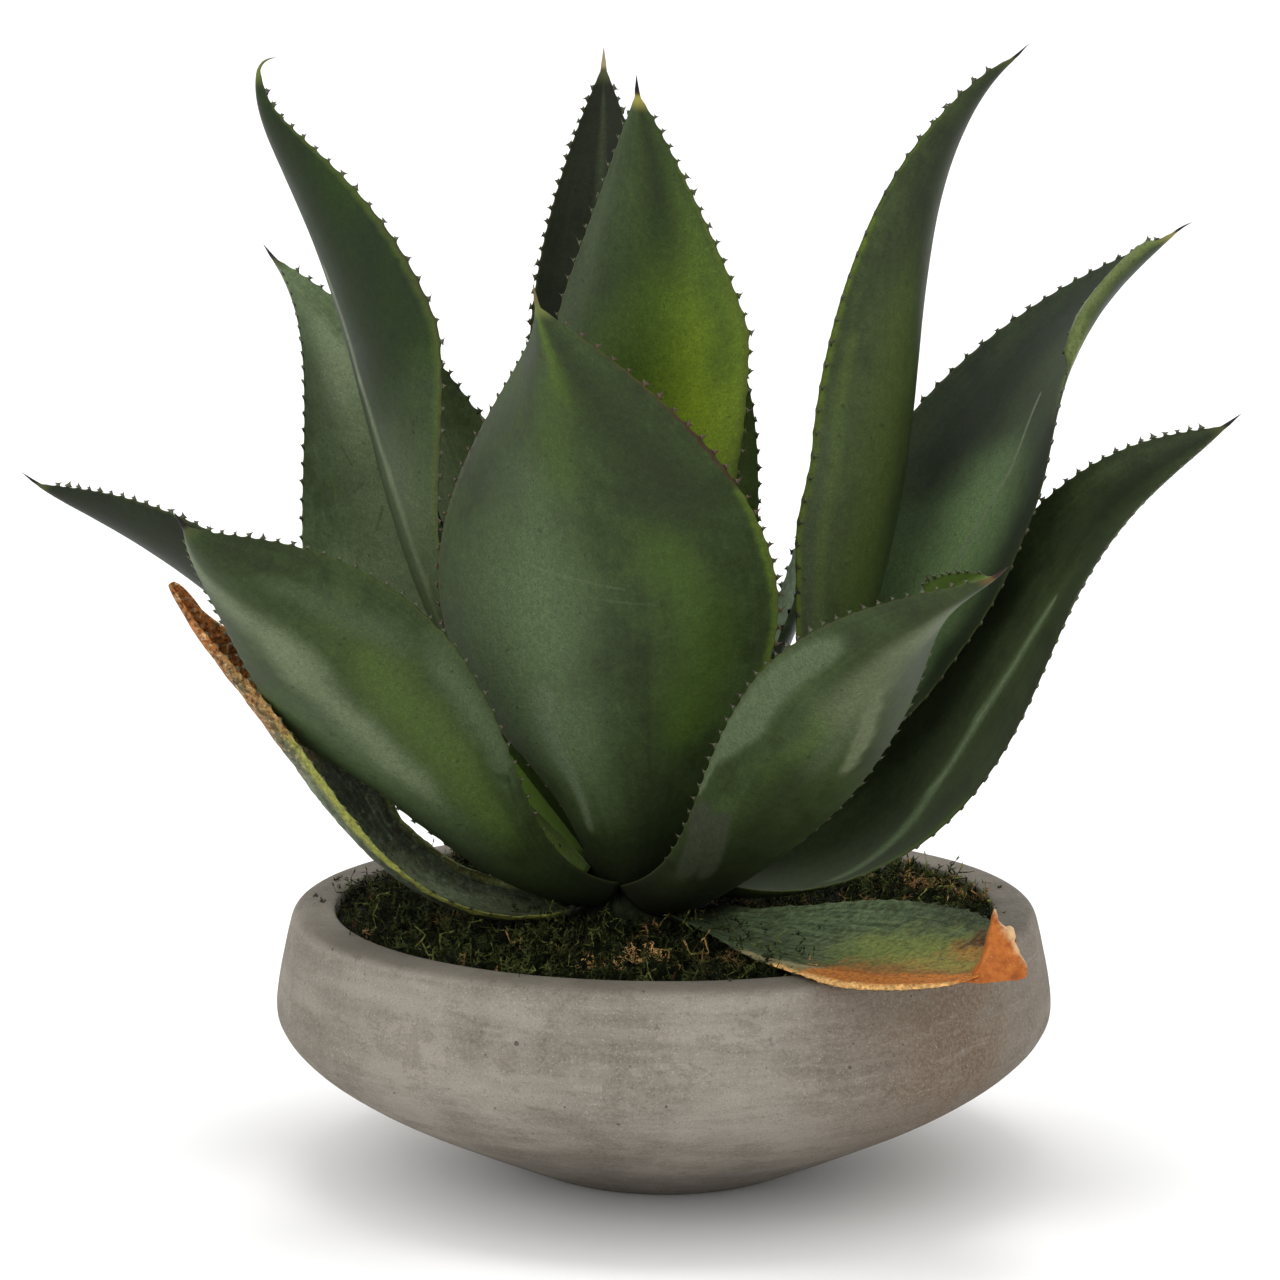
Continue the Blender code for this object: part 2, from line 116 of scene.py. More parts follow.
LEAVES = {
    "tall_left": {
        "heading": 148, "seat": 196, "length": 522, "width": 195,
        "belly": 0.65, "taper": 1.12, "curl": 87, "foot": 54,
        "rise": (43, 37, 132, 15), "swing": (0, 2, 16, 14),
        "roll": (0, -13, 55, 18), "cup": (40, 51, 79, 54)},
    "tall_right": {
        "heading": 362, "seat": 193, "length": 526, "width": 169,
        "belly": 0.55, "taper": 1.6, "curl": -13, "foot": 41,
        "rise": (31, 76, 113, 54), "swing": (0, 0, -8, -2),
        "roll": (0, 0, -21, -2), "cup": (40, 59, 73, 62)},
    "left_back": {
        "heading": 135, "seat": 188, "length": 444, "width": 216,
        "belly": 0.44, "taper": 1.1, "curl": -3.06, "foot": 56,
        "rise": (46, 35, 70, 48), "swing": (0, 0, -4, 13),
        "roll": (0, -47, -19, -2), "cup": (40, 31, 26, 55)},
    "left_low": {
        "heading": 172, "seat": 178, "length": 406, "width": 140,
        "belly": 0.51, "taper": 2.2, "curl": 25, "foot": 46,
        "rise": (35, 26, 59, 8), "swing": (0, -3, -13, 3),
        "roll": (0, 56, 12, 18), "cup": (40, 36, 45, 64)},
    "left_front": {
        "heading": 219, "seat": 173, "length": 403, "width": 121,
        "belly": 0.56, "taper": 1.67, "curl": 27, "foot": 39,
        "rise": (7, 73, 49, 19), "swing": (0, 9, 3, 14),
        "roll": (0, 42, 40, 35), "cup": (40, 25, 27, 58)},
    "front": {
        "heading": 257, "seat": 180, "length": 391, "width": 215,
        "belly": 0.54, "taper": 1.99, "curl": 12, "foot": 49,
        "rise": (43, 83, 74, 63), "swing": (0, 0, 7, -36),
        "roll": (0, 5, -13, -5), "cup": (40, 17, 28, 52)},
    "front_upright": {
        "heading": 272, "seat": 210, "length": 451, "width": 120,
        "belly": 0.68, "taper": 1.17, "curl": -12, "foot": 42,
        "rise": (79, 79, 78, 74), "swing": (0, 5, -4, -10),
        "roll": (0, -5, -18, -20), "cup": (40, 35, 29, 35)},
    "back_upright": {
        "heading": 113, "seat": 222, "length": 435, "width": 110,
        "belly": 0.51, "taper": 1.78, "curl": -4, "foot": 44,
        "rise": (79, 77, 83, 96), "swing": (0, 2, -4, -7),
        "roll": (0, 4, -20, -19), "cup": (40, 41, 35, 38)},
    "back_right_upright": {
        "heading": 62, "seat": 211, "length": 296, "width": 60,
        "belly": 0.53, "taper": 1.48, "curl": 40, "foot": 38,
        "rise": (58, 65, 68, 84), "swing": (0, -3, -4, -12),
        "roll": (0, 30, 16, 14), "cup": (40, 35, 33, 30)},
    "right_back": {
        "heading": 4, "seat": 186, "length": 479, "width": 183,
        "belly": 0.58, "taper": 1.53, "curl": 18, "foot": 41,
        "rise": (29, 59, 92, 25), "swing": (0, 7, 8, -21),
        "roll": (0, 32, 28, 5), "cup": (40, 12, 12, 35)},
    "right_low": {
        "heading": -14, "seat": 180, "length": 435, "width": 129,
        "belly": 0.54, "taper": 1.8, "curl": 33, "foot": 50,
        "rise": (-11, 65, 100, 4), "swing": (0, 3, -4, 8),
        "roll": (0, 64, 17, 33), "cup": (40, 12, 11, 40)},
    "right_inner_back": {
        "heading": 42, "seat": 203, "length": 264, "width": 59,
        "belly": 0.46, "taper": 1.7, "curl": -6, "foot": 34,
        "rise": (39, 41, 76, 71), "swing": (0, -7, 1, 6),
        "roll": (0, -39, -43, -13), "cup": (40, 30, 32, 53)},
    "right_front": {
        "heading": 292, "seat": 171, "length": 430, "width": 99,
        "belly": 0.59, "taper": 1.76, "curl": 15, "foot": 36,
        "rise": (13, 49, 54, 17), "swing": (0, 6, 1, 21),
        "roll": (0, -37, -25, 9), "cup": (40, 30, 38, 69)},
    "left_inner_back": {
        "heading": 142, "seat": 205, "length": 337, "width": 88,
        "belly": 0.57, "taper": 2.01, "curl": 27, "foot": 43,
        "rise": (42, 72, 61, 66), "swing": (0, 6, 0, 5),
        "roll": (0, 5, -11, -3), "cup": (40, 37, 42, 50)},
    "back_low": {
        "heading": 93, "seat": 177, "length": 378, "width": 150,
        "belly": 0.5, "taper": 1.75, "curl": -1.52, "foot": 40,
        "rise": (46, 52, 57, 42), "swing": (0, -4, -5, -9),
        "roll": (0, 0, 0, 0), "cup": (40, 35, 35, 50)},
    "back_left_low": {
        "heading": 109, "seat": 168, "length": 312, "width": 120,
        "belly": 0.5, "taper": 1.75, "curl": 0.73, "foot": 42,
        "rise": (36, 51, 57, 45), "swing": (0, -1, -2, -3),
        "roll": (0, 0, 0, 0), "cup": (40, 35, 35, 50)},
    "old_left": {
        "heading": 206, "seat": 161, "length": 321, "width": 65,
        "belly": 0.4, "taper": 1.75, "curl": 24, "foot": 35, "thick": 4, "tip": 4,
        "rise": (-3, 38, 80, 34), "swing": (0, -1, 3, -8),
        "roll": (0, -61, -39, -72), "cup": (40, 39, 56, 60)},
    "old_right": {
        "heading": 308, "seat": 161, "length": 282, "width": 101,
        "belly": 0.59, "taper": 2.55, "curl": 10, "foot": 32, "thick": 4, "tip": 9,
        "rise": (-1, 8, 3, 4), "swing": (0, -1, 1, 6),
        "roll": (0, 19, 14, 18), "cup": (30, 19, 16, 12)},
}


def show(made):
    """Puts a new object in the scene."""
    bpy.context.scene.collection.objects.link(made)
    return made


def line_mesh(name, points):
    """Points joined one to the next."""
    mesh = bpy.data.meshes.new(name)
    mesh.from_pydata(points, [(k, k + 1) for k in range(len(points) - 1)], [])
    return mesh


def blend(values, share):
    """Smooth curve through four values, from the foot to the tip of a leaf."""
    rest = 1 - share
    weights = (rest ** 3, 3 * rest * rest * share, 3 * rest * share * share, share ** 3)
    return sum(weight * value for weight, value in zip(weights, values))


def crown_radius(height):
    return CROWN_FOOT_R - CROWN_TAPER * (height - CROWN_FOOT_Z)


def ease(part):
    part = min(max(part, 0), 1)
    return part * part * (3 - 2 * part)


def swung(first, second, angle):
    """Two square ways, turned towards each other's side."""
    cosine, sine = math.cos(angle), math.sin(angle)
    return first * cosine + second * sine, second * cosine - first * sine


class Leaf:
    """Middle line of one blade, with the way it faces and how wide it is at each place."""

    def __init__(self, form):
        self.form = {**COMMON, "blunt": False, **form}
        self.trace = self.walk()

    def axes(self, share):
        rise = math.radians(blend(self.form["rise"], share) + self.form["curl"] * share ** CURL_POWER)
        heading = math.radians(self.form["heading"] + blend(self.form["swing"], share))
        roll = math.radians(blend(self.form["roll"], share))
        flat = Vector((math.cos(heading), math.sin(heading), 0))
        along = flat * math.cos(rise) + Vector((0, 0, math.sin(rise)))
        level = Vector((-math.sin(heading), math.cos(heading), 0))
        side = level * math.cos(roll) + along.cross(level) * math.sin(roll)
        return along, side, along.cross(side)

    def walk(self):
        heading = math.radians(self.form["heading"])
        seat = self.form["seat"]
        slope = math.radians(self.form["rise"][0])
        under = self.form["thick"] * THICK_SHARE + TIP_THICK
        below = crown_radius(seat - under * math.cos(slope)) - under * math.sin(slope)
        radius = max(crown_radius(seat), below) + SEAT_GAP
        here = Vector((CROWN_X + radius * math.cos(heading), radius * math.sin(heading), seat))
        trace = [here]
        for step in range(PATH_STEPS):
            here = here + self.axes((step + 0.5) / PATH_STEPS)[0] * self.form["length"] / PATH_STEPS
            trace.append(here)
        return trace

    def middle(self, share):
        place = share * PATH_STEPS
        low = min(int(place), PATH_STEPS - 1)
        return self.trace[low].lerp(self.trace[low + 1], place - low)

    def half_width(self, share):
        tip = self.form["tip"]
        full = self.form["width"] / 2 - tip
        low = (self.form["foot"] / 2 - tip) / full
        belly = self.form["belly"]
        if share < belly:
            part = low + (1 - low) * math.sin(share / belly * math.pi / 2) ** SHOULDER_POWER
        else:
            part = 1 - ((share - belly) / (1 - belly)) ** self.form["taper"]
        return tip + full * part

    def strip(self, share, side):
        """Width of the folded margin, as a share of the half width."""
        start, full, late, end, width, _ = self.form[side]
        if width == 0:
            return 0
        grown_in = ease((share - start) / (full - start))
        return width * grown_in * (1 - ease((share - late) / max(end - late, 0.001)))

    def trimmed(self, share):
        """How much of the half width is rolled away at the plus margin."""
        start, full, late, end, part = self.form["trim"]
        if part == 0:
            return 0
        return part * ease((share - start) / (full - start)) * (1 - ease((share - late) / (end - late)))

    def rib(self, name):
        """Line of points along the blade and its spine, with what the blade tree reads there."""
        teeth = round(self.form["length"] / self.form["spacing"])
        rows = teeth * ROWS_PER_TOOTH
        keys = ("along", "side", "up", "half", "cup", "body", "share", "strip_plus", "strip_minus")
        values = {key: [] for key in keys}
        points = []
        for row in range(rows + 1 + SPINE_ROWS):
            share = min(row / rows, 1)
            share *= (1 + CROWDING * (1 - share)) * self.form["stop"]
            beyond = max(row - rows, 0) / SPINE_ROWS
            along, side, up = self.axes(share)
            if beyond:
                bend = math.radians(self.form["spine_bend"]) * beyond
                along, up = swung(along, up, bend)
                points.append(points[-1] + along * self.form["spine"] / SPINE_ROWS * MM)
            else:
                points.append(self.middle(share) * MM)
            cup = math.radians(blend(self.form["cup"], share))
            trim = self.trimmed(share) / 2
            if trim:
                bend = cup * trim
                radius = self.half_width(share) / cup * MM
                points[-1] += side * math.sin(bend) * radius + up * (1 - math.cos(bend)) * radius
                side, up = swung(side, up, bend)
            values["along"].append(along)
            values["side"].append(side)
            values["up"].append(up)
            narrow = math.sqrt(1 - 0.97 * beyond ** 2) if self.form["blunt"] else 1 - 0.93 * beyond ** 0.8
            spread = self.form["flare"] * max(0, 1 - share / FLARED_SHARE) ** 2
            values["half"].append((self.half_width(share) * narrow * (1 - trim) + spread) * MM)
            values["cup"].append(cup * (1 - trim))
            body = TIP_THICK + self.form["thick"] * THICK_SHARE * (1 - share) ** THICK_FALL
            body += self.form["flare"] / 3 * max(0, 1 - share / FLARED_SHARE) ** 2
            values["body"].append(body * (1 - 0.9 * beyond) * MM)
            values["share"].append(share + beyond)
            values["strip_plus"].append(self.strip(share, "fold_plus"))
            values["strip_minus"].append(self.strip(share, "fold_minus"))
        mesh = line_mesh(name, points)
        for key, listed in values.items():
            if isinstance(listed[0], Vector):
                made = mesh.attributes.new(key, "FLOAT_VECTOR", "POINT")
                made.data.foreach_set("vector", [part for value in listed for part in value])
            else:
                made = mesh.attributes.new(key, "FLOAT", "POINT")
                made.data.foreach_set("value", listed)
        return show(bpy.data.objects.new(name, mesh)), rows, teeth


class Graph:
    """Short way to lay out the nodes of a tree."""

    def __init__(self, tree):
        self.tree = tree

    def node(self, kind, values=None, **settings):
        made = self.tree.nodes.new(kind)
        for key, value in settings.items():
            setattr(made, key, value)
        for key, value in (values or {}).items():
            self.feed(self.find(made, key), value)
        return made

    @staticmethod
    def find(made, key):
        if isinstance(key, int):
            return made.inputs[key]
        return next(socket for socket in made.inputs if socket.name == key and socket.enabled)

    def feed(self, socket, value):
        if isinstance(value, bpy.types.Node):
            value = next(out for out in value.outputs if out.enabled)
        if isinstance(value, bpy.types.NodeSocket):
            self.tree.links.new(value, socket)
        else:
            socket.default_value = value

    def math(self, operation, *values):
        return self.node("ShaderNodeMath", dict(enumerate(values)), operation=operation).outputs[0]

    def times(self, first, second):
        return self.math("MULTIPLY", first, second)

    def plus(self, first, second):
        return self.math("ADD", first, second)

    def less(self, first, second):
        return self.math("SUBTRACT", first, second)

    def over(self, first, second):
        return self.math("DIVIDE", first, second)

    def power(self, first, second):
        return self.math("POWER", first, second)

    def stretch(self, vector, size):
        return self.vector("SCALE", vector, size)

    def shift(self, first, second):
        return self.vector("ADD", first, second)

    def away(self, first, second):
        """Vector from the second place to the first."""
        return self.vector("SUBTRACT", first, second)

    def vector(self, operation, *values):
        made = self.node("ShaderNodeVectorMath", operation=operation)
        for index, value in enumerate(values):
            self.feed(made.inputs[3] if operation == "SCALE" and index == 1 else made.inputs[index], value)
        return made.outputs["Value"] if operation in ("LENGTH", "DOT_PRODUCT") else made.outputs[0]

    def span(self, value, low, high, start=0.0, end=1.0, smooth=True):
        kind = "SMOOTHSTEP" if smooth else "LINEAR"
        return self.node("ShaderNodeMapRange",
                         {"Value": value, "From Min": low, "From Max": high, "To Min": start,
                                                "To Max": end}, interpolation_type=kind).outputs[0]

    def mix(self, share, first, second, how="MIX"):
        made = self.node("ShaderNodeMix", data_type="RGBA", blend_type=how)
        self.feed(made.inputs[0], share)
        self.feed(made.inputs[6], first)
        self.feed(made.inputs[7], second)
        return made.outputs[2]

    def lit(self, colour, amount):
        return self.mix(1.0, colour, self.join(amount, amount, amount), "MULTIPLY")

    def noise(self, place, scale, detail=4.0, roughness=0.5, warp=0.0):
        return self.node("ShaderNodeTexNoise", {"Vector": place, "Scale": scale, "Detail": detail,
                                                "Roughness": roughness, "Distortion": warp}).outputs[0]

    def parts(self, value):
        return self.node("ShaderNodeSeparateXYZ", {0: value}).outputs

    def join(self, *values):
        return self.node("ShaderNodeCombineXYZ", dict(enumerate(values))).outputs[0]


def new_tree(name, inputs):
    """Geometry tree with named inputs, its graph and the sockets that it starts from."""
    tree = bpy.data.node_groups.new(name, "GeometryNodeTree")
    tree.interface.new_socket("Geometry", in_out="OUTPUT", socket_type="NodeSocketGeometry")
    tree.interface.new_socket("Geometry", in_out="INPUT", socket_type="NodeSocketGeometry")
    for label, kind in inputs:
        tree.interface.new_socket(label, in_out="INPUT", socket_type="NodeSocket" + kind)
    graph = Graph(tree)
    return graph, graph.node("NodeGroupInput").outputs


def end_tree(graph, geometry):
    graph.feed(graph.node("NodeGroupOutput").inputs[0], geometry)
    return graph.tree


def grown(source, name, tree, values):
    """Runs a geometry tree on an object and returns the result as a plain mesh object."""
    modifier = source.modifiers.new(name, "NODES")
    modifier.node_group = tree
    names = {item.name: item.identifier for item in tree.interface.items_tree if item.in_out == "INPUT"}
    for label, value in values.items():
        modifier[names[label]] = value
    found = source.evaluated_get(bpy.context.evaluated_depsgraph_get())
    mesh = bpy.data.meshes.new_from_object(found, preserve_all_data_layers=True,
                                           depsgraph=bpy.context.evaluated_depsgraph_get())
    mesh.name = name
    source.modifiers.remove(modifier)
    bpy.data.objects.remove(source)
    return add_piece(name, mesh)


def add_piece(name, mesh):
    """Places a finished mesh in the scene with its faces outward."""
    work = bmesh.new()
    work.from_mesh(mesh)
    bmesh.ops.recalc_face_normals(work, faces=work.faces)
    work.to_mesh(mesh)
    work.free()
    return show(bpy.data.objects.new(name, mesh))


def rib_reader(graph, rib):
    def read(name, row):
        vector = name in ("along", "side", "up", "place")
        kind = "FLOAT_VECTOR" if vector else "FLOAT"
        if name == "place":
            value = graph.node("GeometryNodeInputPosition").outputs[0]
        else:
            value = graph.node("GeometryNodeInputNamedAttribute", {"Name": name}, data_type=kind).outputs[0]
        return graph.node("GeometryNodeSampleIndex", {"Geometry": rib, "Value": value, "Index": row},
                          data_type=kind).outputs[0]
    return read


def blade_point(graph, group, read, row, across, depth):
    """Point of the blade, and the ways normal to it and outward across it."""
    plus = graph.math("GREATER_THAN", across, 0.0)
    strip = graph.plus(graph.times(plus, read("strip_plus", row)),
                       graph.times(graph.less(1.0, plus), read("strip_minus", row)))
    angle = graph.plus(graph.times(plus, group["Turn Plus"]),
                       graph.times(graph.less(1.0, plus), group["Turn Minus"]))
    half = read("half", row)
    cup = read("cup", row)
    reach = graph.times(graph.math("ABSOLUTE", across), graph.plus(strip, 1.0))
    inside = graph.times(graph.math("MINIMUM", reach, 1.0), graph.math("SIGN", across))
    turn = graph.times(cup, inside)
    radius = graph.over(half, cup)
    sine = graph.math("SINE", turn)
    cosine = graph.math("COSINE", turn)
    side = read("side", row)
    up = read("up", row)
    normal = graph.away(graph.stretch(up, cosine), graph.stretch(side, sine))
    flat = graph.shift(graph.stretch(side, cosine), graph.stretch(up, sine))
    outward = graph.stretch(flat, graph.math("SIGN", across))
    lift = graph.times(radius, graph.less(1.0, cosine))
    point = graph.shift(read("place", row), graph.stretch(side, graph.times(radius, sine)))
    point = graph.shift(point, graph.stretch(up, lift))
    over = graph.times(graph.math("MAXIMUM", graph.less(reach, 1.0), 0.0), half)
    way = graph.math("SIGN", angle)
    bend = graph.math("MINIMUM", graph.over(over, group["Fold Radius"]), graph.math("ABSOLUTE", angle))
    past = graph.less(over, graph.times(bend, group["Fold Radius"]))
    bend_sine = graph.math("SINE", bend)
    bend_cosine = graph.math("COSINE", bend)
    out = graph.plus(graph.times(group["Fold Radius"], bend_sine), graph.times(past, bend_cosine))
    rise = graph.plus(graph.times(group["Fold Radius"], graph.less(1.0, bend_cosine)),
                      graph.times(past, bend_sine))
    point = graph.shift(point, graph.stretch(outward, out))
    point = graph.shift(point, graph.stretch(normal, graph.times(rise, way)))
    turned = graph.times(bend_sine, way)
    face_way = graph.away(graph.stretch(normal, bend_cosine), graph.stretch(outward, turned))
    rim_way = graph.shift(graph.stretch(outward, bend_cosine), graph.stretch(normal, turned))
    return graph.away(point, graph.stretch(face_way, depth)), face_way, rim_way


def scallop(graph, row, share, amount):
    """Rim that rises to each tooth in a shallow arc."""
    part = graph.math("FRACT", graph.over(row, float(ROWS_PER_TOOTH)))
    near = graph.less(1.0, graph.math("ABSOLUTE", graph.less(graph.times(part, 2.0), 1.0)))
    fade = graph.times(graph.span(share, 0.1, 0.25), graph.span(share, 0.97, 1.0, 1.0, 0.0))
    return graph.times(graph.times(graph.power(near, 2.4), fade), amount)


def row_tube(graph, sides, last):
    """Tube of radius 1 with one ring for each row, where its points lie across and which row they are in."""
    tube = graph.node("GeometryNodeMeshCylinder", {"Vertices": sides, "Side Segments": last, "Radius": 1.0,
                                                   "Depth": 1.0}, fill_type="NGON").outputs["Mesh"]
    x, y, level = graph.parts(graph.node("GeometryNodeInputPosition").outputs[0])
    row = graph.math("ROUND", graph.times(graph.plus(level, 0.5), last))
    return tube, x, y, row


def blade_part(graph, group, read):
    """Closed blade with its terminal spine, swept along the rib."""
    last = graph.less(group["Rows"], 1.0)
    tube, across, face, row = row_tube(graph, group["Around"], last)
    share = read("share", row)
    half = read("half", row)
    bulge = graph.math("MAXIMUM", graph.less(read("body", row), group["Rim"]), 0.0)
    inner = graph.less(1.0, graph.times(across, across))
    thick = graph.plus(group["Rim"], graph.times(bulge, inner))
    thick = graph.math("MINIMUM", thick, graph.times(half, 1.7))
    round_off = graph.times(graph.math("SIGN", face), graph.power(graph.math("ABSOLUTE", face), 0.5))
    depth = graph.times(graph.times(thick, 0.5), graph.less(1.0, round_off))
    place = graph.join(graph.times(share, 5.0), graph.times(across, 2.2), group["Seed"])
    swell = graph.less(graph.noise(place, group["Ripple"], 4.0, 0.6), 0.5)
    swell = graph.times(graph.times(swell, graph.span(share, 0.9, 1.0, 1.0, 0.0)), group["Pucker"])
    point, _, outward = blade_point(graph, group, read, row, across, graph.plus(depth, swell))
    edge = graph.power(graph.math("ABSOLUTE", across), 9.0)
    reach = graph.times(scallop(graph, row, share, group["Scallop"]), edge)
    point = graph.shift(point, graph.stretch(outward, reach))
    tube = graph.node("GeometryNodeStoreNamedAttribute", {"Geometry": tube, "Name": "blade",
                                                          "Value": graph.join(share, across, face)},
                      data_type="FLOAT_VECTOR").outputs[0]
    tube = graph.node("GeometryNodeSetPosition", {"Geometry": tube, "Position": point}).outputs[0]
    return graph.node("GeometryNodeSetMaterial", {"Geometry": tube, "Material": group["Skin"]}).outputs[0]


def tooth_shape(graph, group):
    """Hooked tooth on a wide foot."""
    cone = graph.node("GeometryNodeMeshCone", {"Vertices": 7, "Side Segments": 4, "Radius Top": 0.0,
                                               "Radius Bottom": 1.0, "Depth": 1.0},
                                               fill_type="NGON").outputs["Mesh"]
    x, y, height = graph.parts(graph.node("GeometryNodeInputPosition").outputs[0])
    flare = graph.power(graph.less(1.0, height), 2.4)
    flare = graph.plus(0.2, graph.times(flare, 1.1))
    wide = graph.times(graph.times(x, flare), group["Tooth Base"])
    hook = graph.times(graph.power(height, 2.0), graph.times(group["Tooth Height"], 0.42))
    thin = graph.times(graph.times(y, flare), graph.times(group["Rim"], 0.45))
    tall = graph.less(graph.times(height, group["Tooth Height"]), 0.0005)
    cone = graph.node("GeometryNodeStoreNamedAttribute", {"Geometry": cone, "Name": "tooth", "Value": height},
                      data_type="FLOAT").outputs[0]
    place = graph.join(graph.plus(wide, hook), thin, tall)
    return graph.node("GeometryNodeSetPosition", {"Geometry": cone, "Position": place}).outputs[0]


def teeth_part(graph, group, read):
    """Teeth along both rims, one on each rise of the scallop."""
    count = graph.times(group["Teeth"], 2.0)
    line = graph.node("GeometryNodeMeshLine", {"Count": count}, mode="OFFSET", count_mode="TOTAL").outputs[0]
    index = graph.node("GeometryNodeInputIndex").outputs[0]
    across = graph.less(graph.times(graph.math("LESS_THAN", index, group["Teeth"]), 2.0), 1.0)
    number = graph.math("MODULO", index, group["Teeth"])
    row = graph.plus(graph.times(number, float(ROWS_PER_TOOTH)), ROWS_PER_TOOTH / 2)
    share = read("share", row)
    sunk = graph.times(group["Rim"], 0.5)
    point, _, outward = blade_point(graph, group, read, row, across, sunk)
    point = graph.shift(point, graph.stretch(outward, scallop(graph, row, share, group["Scallop"])))
    line = graph.node("GeometryNodeSetPosition", {"Geometry": line, "Position": point}).outputs[0]
    seed = graph.node("FunctionNodeInputInt", integer=7).outputs[0]
    lean = graph.node("FunctionNodeRandomValue",
                      {"Min": -0.35, "Max": 0.5, "ID": index, "Seed": seed}).outputs[1]
    grow = graph.node("FunctionNodeRandomValue",
                      {"Min": 0.62, "Max": 1.1, "ID": index, "Seed": 21}).outputs[1]
    flip = graph.node("FunctionNodeRandomValue",
                      {"Min": -0.45, "Max": 1.0, "ID": index, "Seed": 3}).outputs[1]
    along = graph.stretch(read("along", row), graph.math("SIGN", flip))
    stand = graph.shift(outward, graph.stretch(along, lean))
    turn = graph.node("FunctionNodeAxesToRotation", {"Primary Axis": stand, "Secondary Axis": along},
                      primary_axis="Z", secondary_axis="X").outputs[0]
    room = graph.times(graph.math("GREATER_THAN", share, 0.13), graph.math("LESS_THAN", share, 0.985))
    fade = graph.times(grow, graph.span(share, 0.12, 0.32, 0.45, 1.0))
    placed = graph.node("GeometryNodeInstanceOnPoints", {"Points": line, "Selection": room,
                                                         "Instance": tooth_shape(graph, group),
                                                         "Rotation": turn,
                                                         "Scale": graph.join(fade, 1.0, fade)}).outputs[0]
    placed = graph.node("GeometryNodeRealizeInstances", {"Geometry": placed}).outputs[0]
    return graph.node("GeometryNodeSetMaterial", {"Geometry": placed, "Material": group["Horn"]}).outputs[0]


def leaf_tree():
    graph, group = new_tree("toothed_leaf", [
        ("Rows", "Int"), ("Around", "Int"), ("Teeth", "Int"), ("Rim", "Float"), ("Scallop", "Float"),
        ("Tooth Height", "Float"), ("Tooth Base", "Float"), ("Pucker", "Float"), ("Ripple", "Float"),
        ("Fold Radius", "Float"),
        ("Turn Plus", "Float"), ("Turn Minus", "Float"), ("Seed", "Float"), ("Skin", "Material"),
        ("Horn", "Material")])
    read = rib_reader(graph, group["Geometry"])
    both = graph.node("GeometryNodeJoinGeometry")
    graph.feed(both.inputs[0], blade_part(graph, group, read))
    graph.feed(both.inputs[0], teeth_part(graph, group, read))
    smooth = graph.node("GeometryNodeSetShadeSmooth", {"Geometry": both.outputs[0]}).outputs[0]
    return end_tree(graph, smooth)


def skin_start(name):
    made = bpy.data.materials.new(name)
    made.use_nodes = True
    graph = Graph(made.node_tree)
    shader = made.node_tree.nodes["Principled BSDF"]
    place = graph.node("ShaderNodeTexCoord").outputs["Object"]
    return made, graph, shader, place


def dull(shader, roughness, specular):
    shader.inputs["Roughness"].default_value = roughness
    shader.inputs["Specular IOR Level"].default_value = specular


def bump(graph, shader, height, distance, strength=1.0):
    made = graph.node("ShaderNodeBump", {"Height": height, "Distance": distance, "Strength": strength})
    graph.feed(shader.inputs["Normal"], made.outputs[0])


def soft_mark_group():
    """Soft-edged mark along a line from one place of the blade to another."""
    tree = bpy.data.node_groups.new("soft_mark", "ShaderNodeTree")
    for label, kind in (("Place", "Vector"), ("Start", "Vector"), ("End", "Vector"), ("Width", "Float"),
                        ("Strength", "Float")):
        tree.interface.new_socket(label, in_out="INPUT", socket_type="NodeSocket" + kind)
    tree.interface.new_socket("Mask", in_out="OUTPUT", socket_type="NodeSocketFloat")
    graph = Graph(tree)
    group = graph.node("NodeGroupInput").outputs
    run = graph.away(group["End"], group["Start"])
    away = graph.away(group["Place"], group["Start"])
    part = graph.over(graph.vector("DOT_PRODUCT", away, run), graph.vector("DOT_PRODUCT", run, run))
    part = graph.math("MINIMUM", graph.math("MAXIMUM", part, 0.0), 1.0)
    far = graph.vector("LENGTH", graph.away(away, graph.stretch(run, part)))
    mask = graph.times(graph.span(far, group["Width"], 0.0), group["Strength"])
    graph.feed(graph.node("NodeGroupOutput").inputs[0], mask)
    return tree


def lay_marks(graph, colour, share, across, wander, marks, look):
    """Lays the marks of one blade over its colour, each as (tint, from, to, width, strength)."""
    place = graph.join(graph.times(share, LONG), across, 0.0)
    place = graph.shift(place, wander)
    for tint, start, end, width, strength in marks:
        made = graph.node("ShaderNodeGroup", node_tree=bpy.data.node_groups["soft_mark"])
        for key, value in (("Place", place), ("Start", (start[0] * LONG, start[1], 0)),
                           ("End", (end[0] * LONG + 0.001, end[1], 0)), ("Width", width),
                           ("Strength", strength)):
            graph.feed(made.inputs[key], value)
        colour = graph.mix(made.outputs[0], colour, look[tint])
    return colour


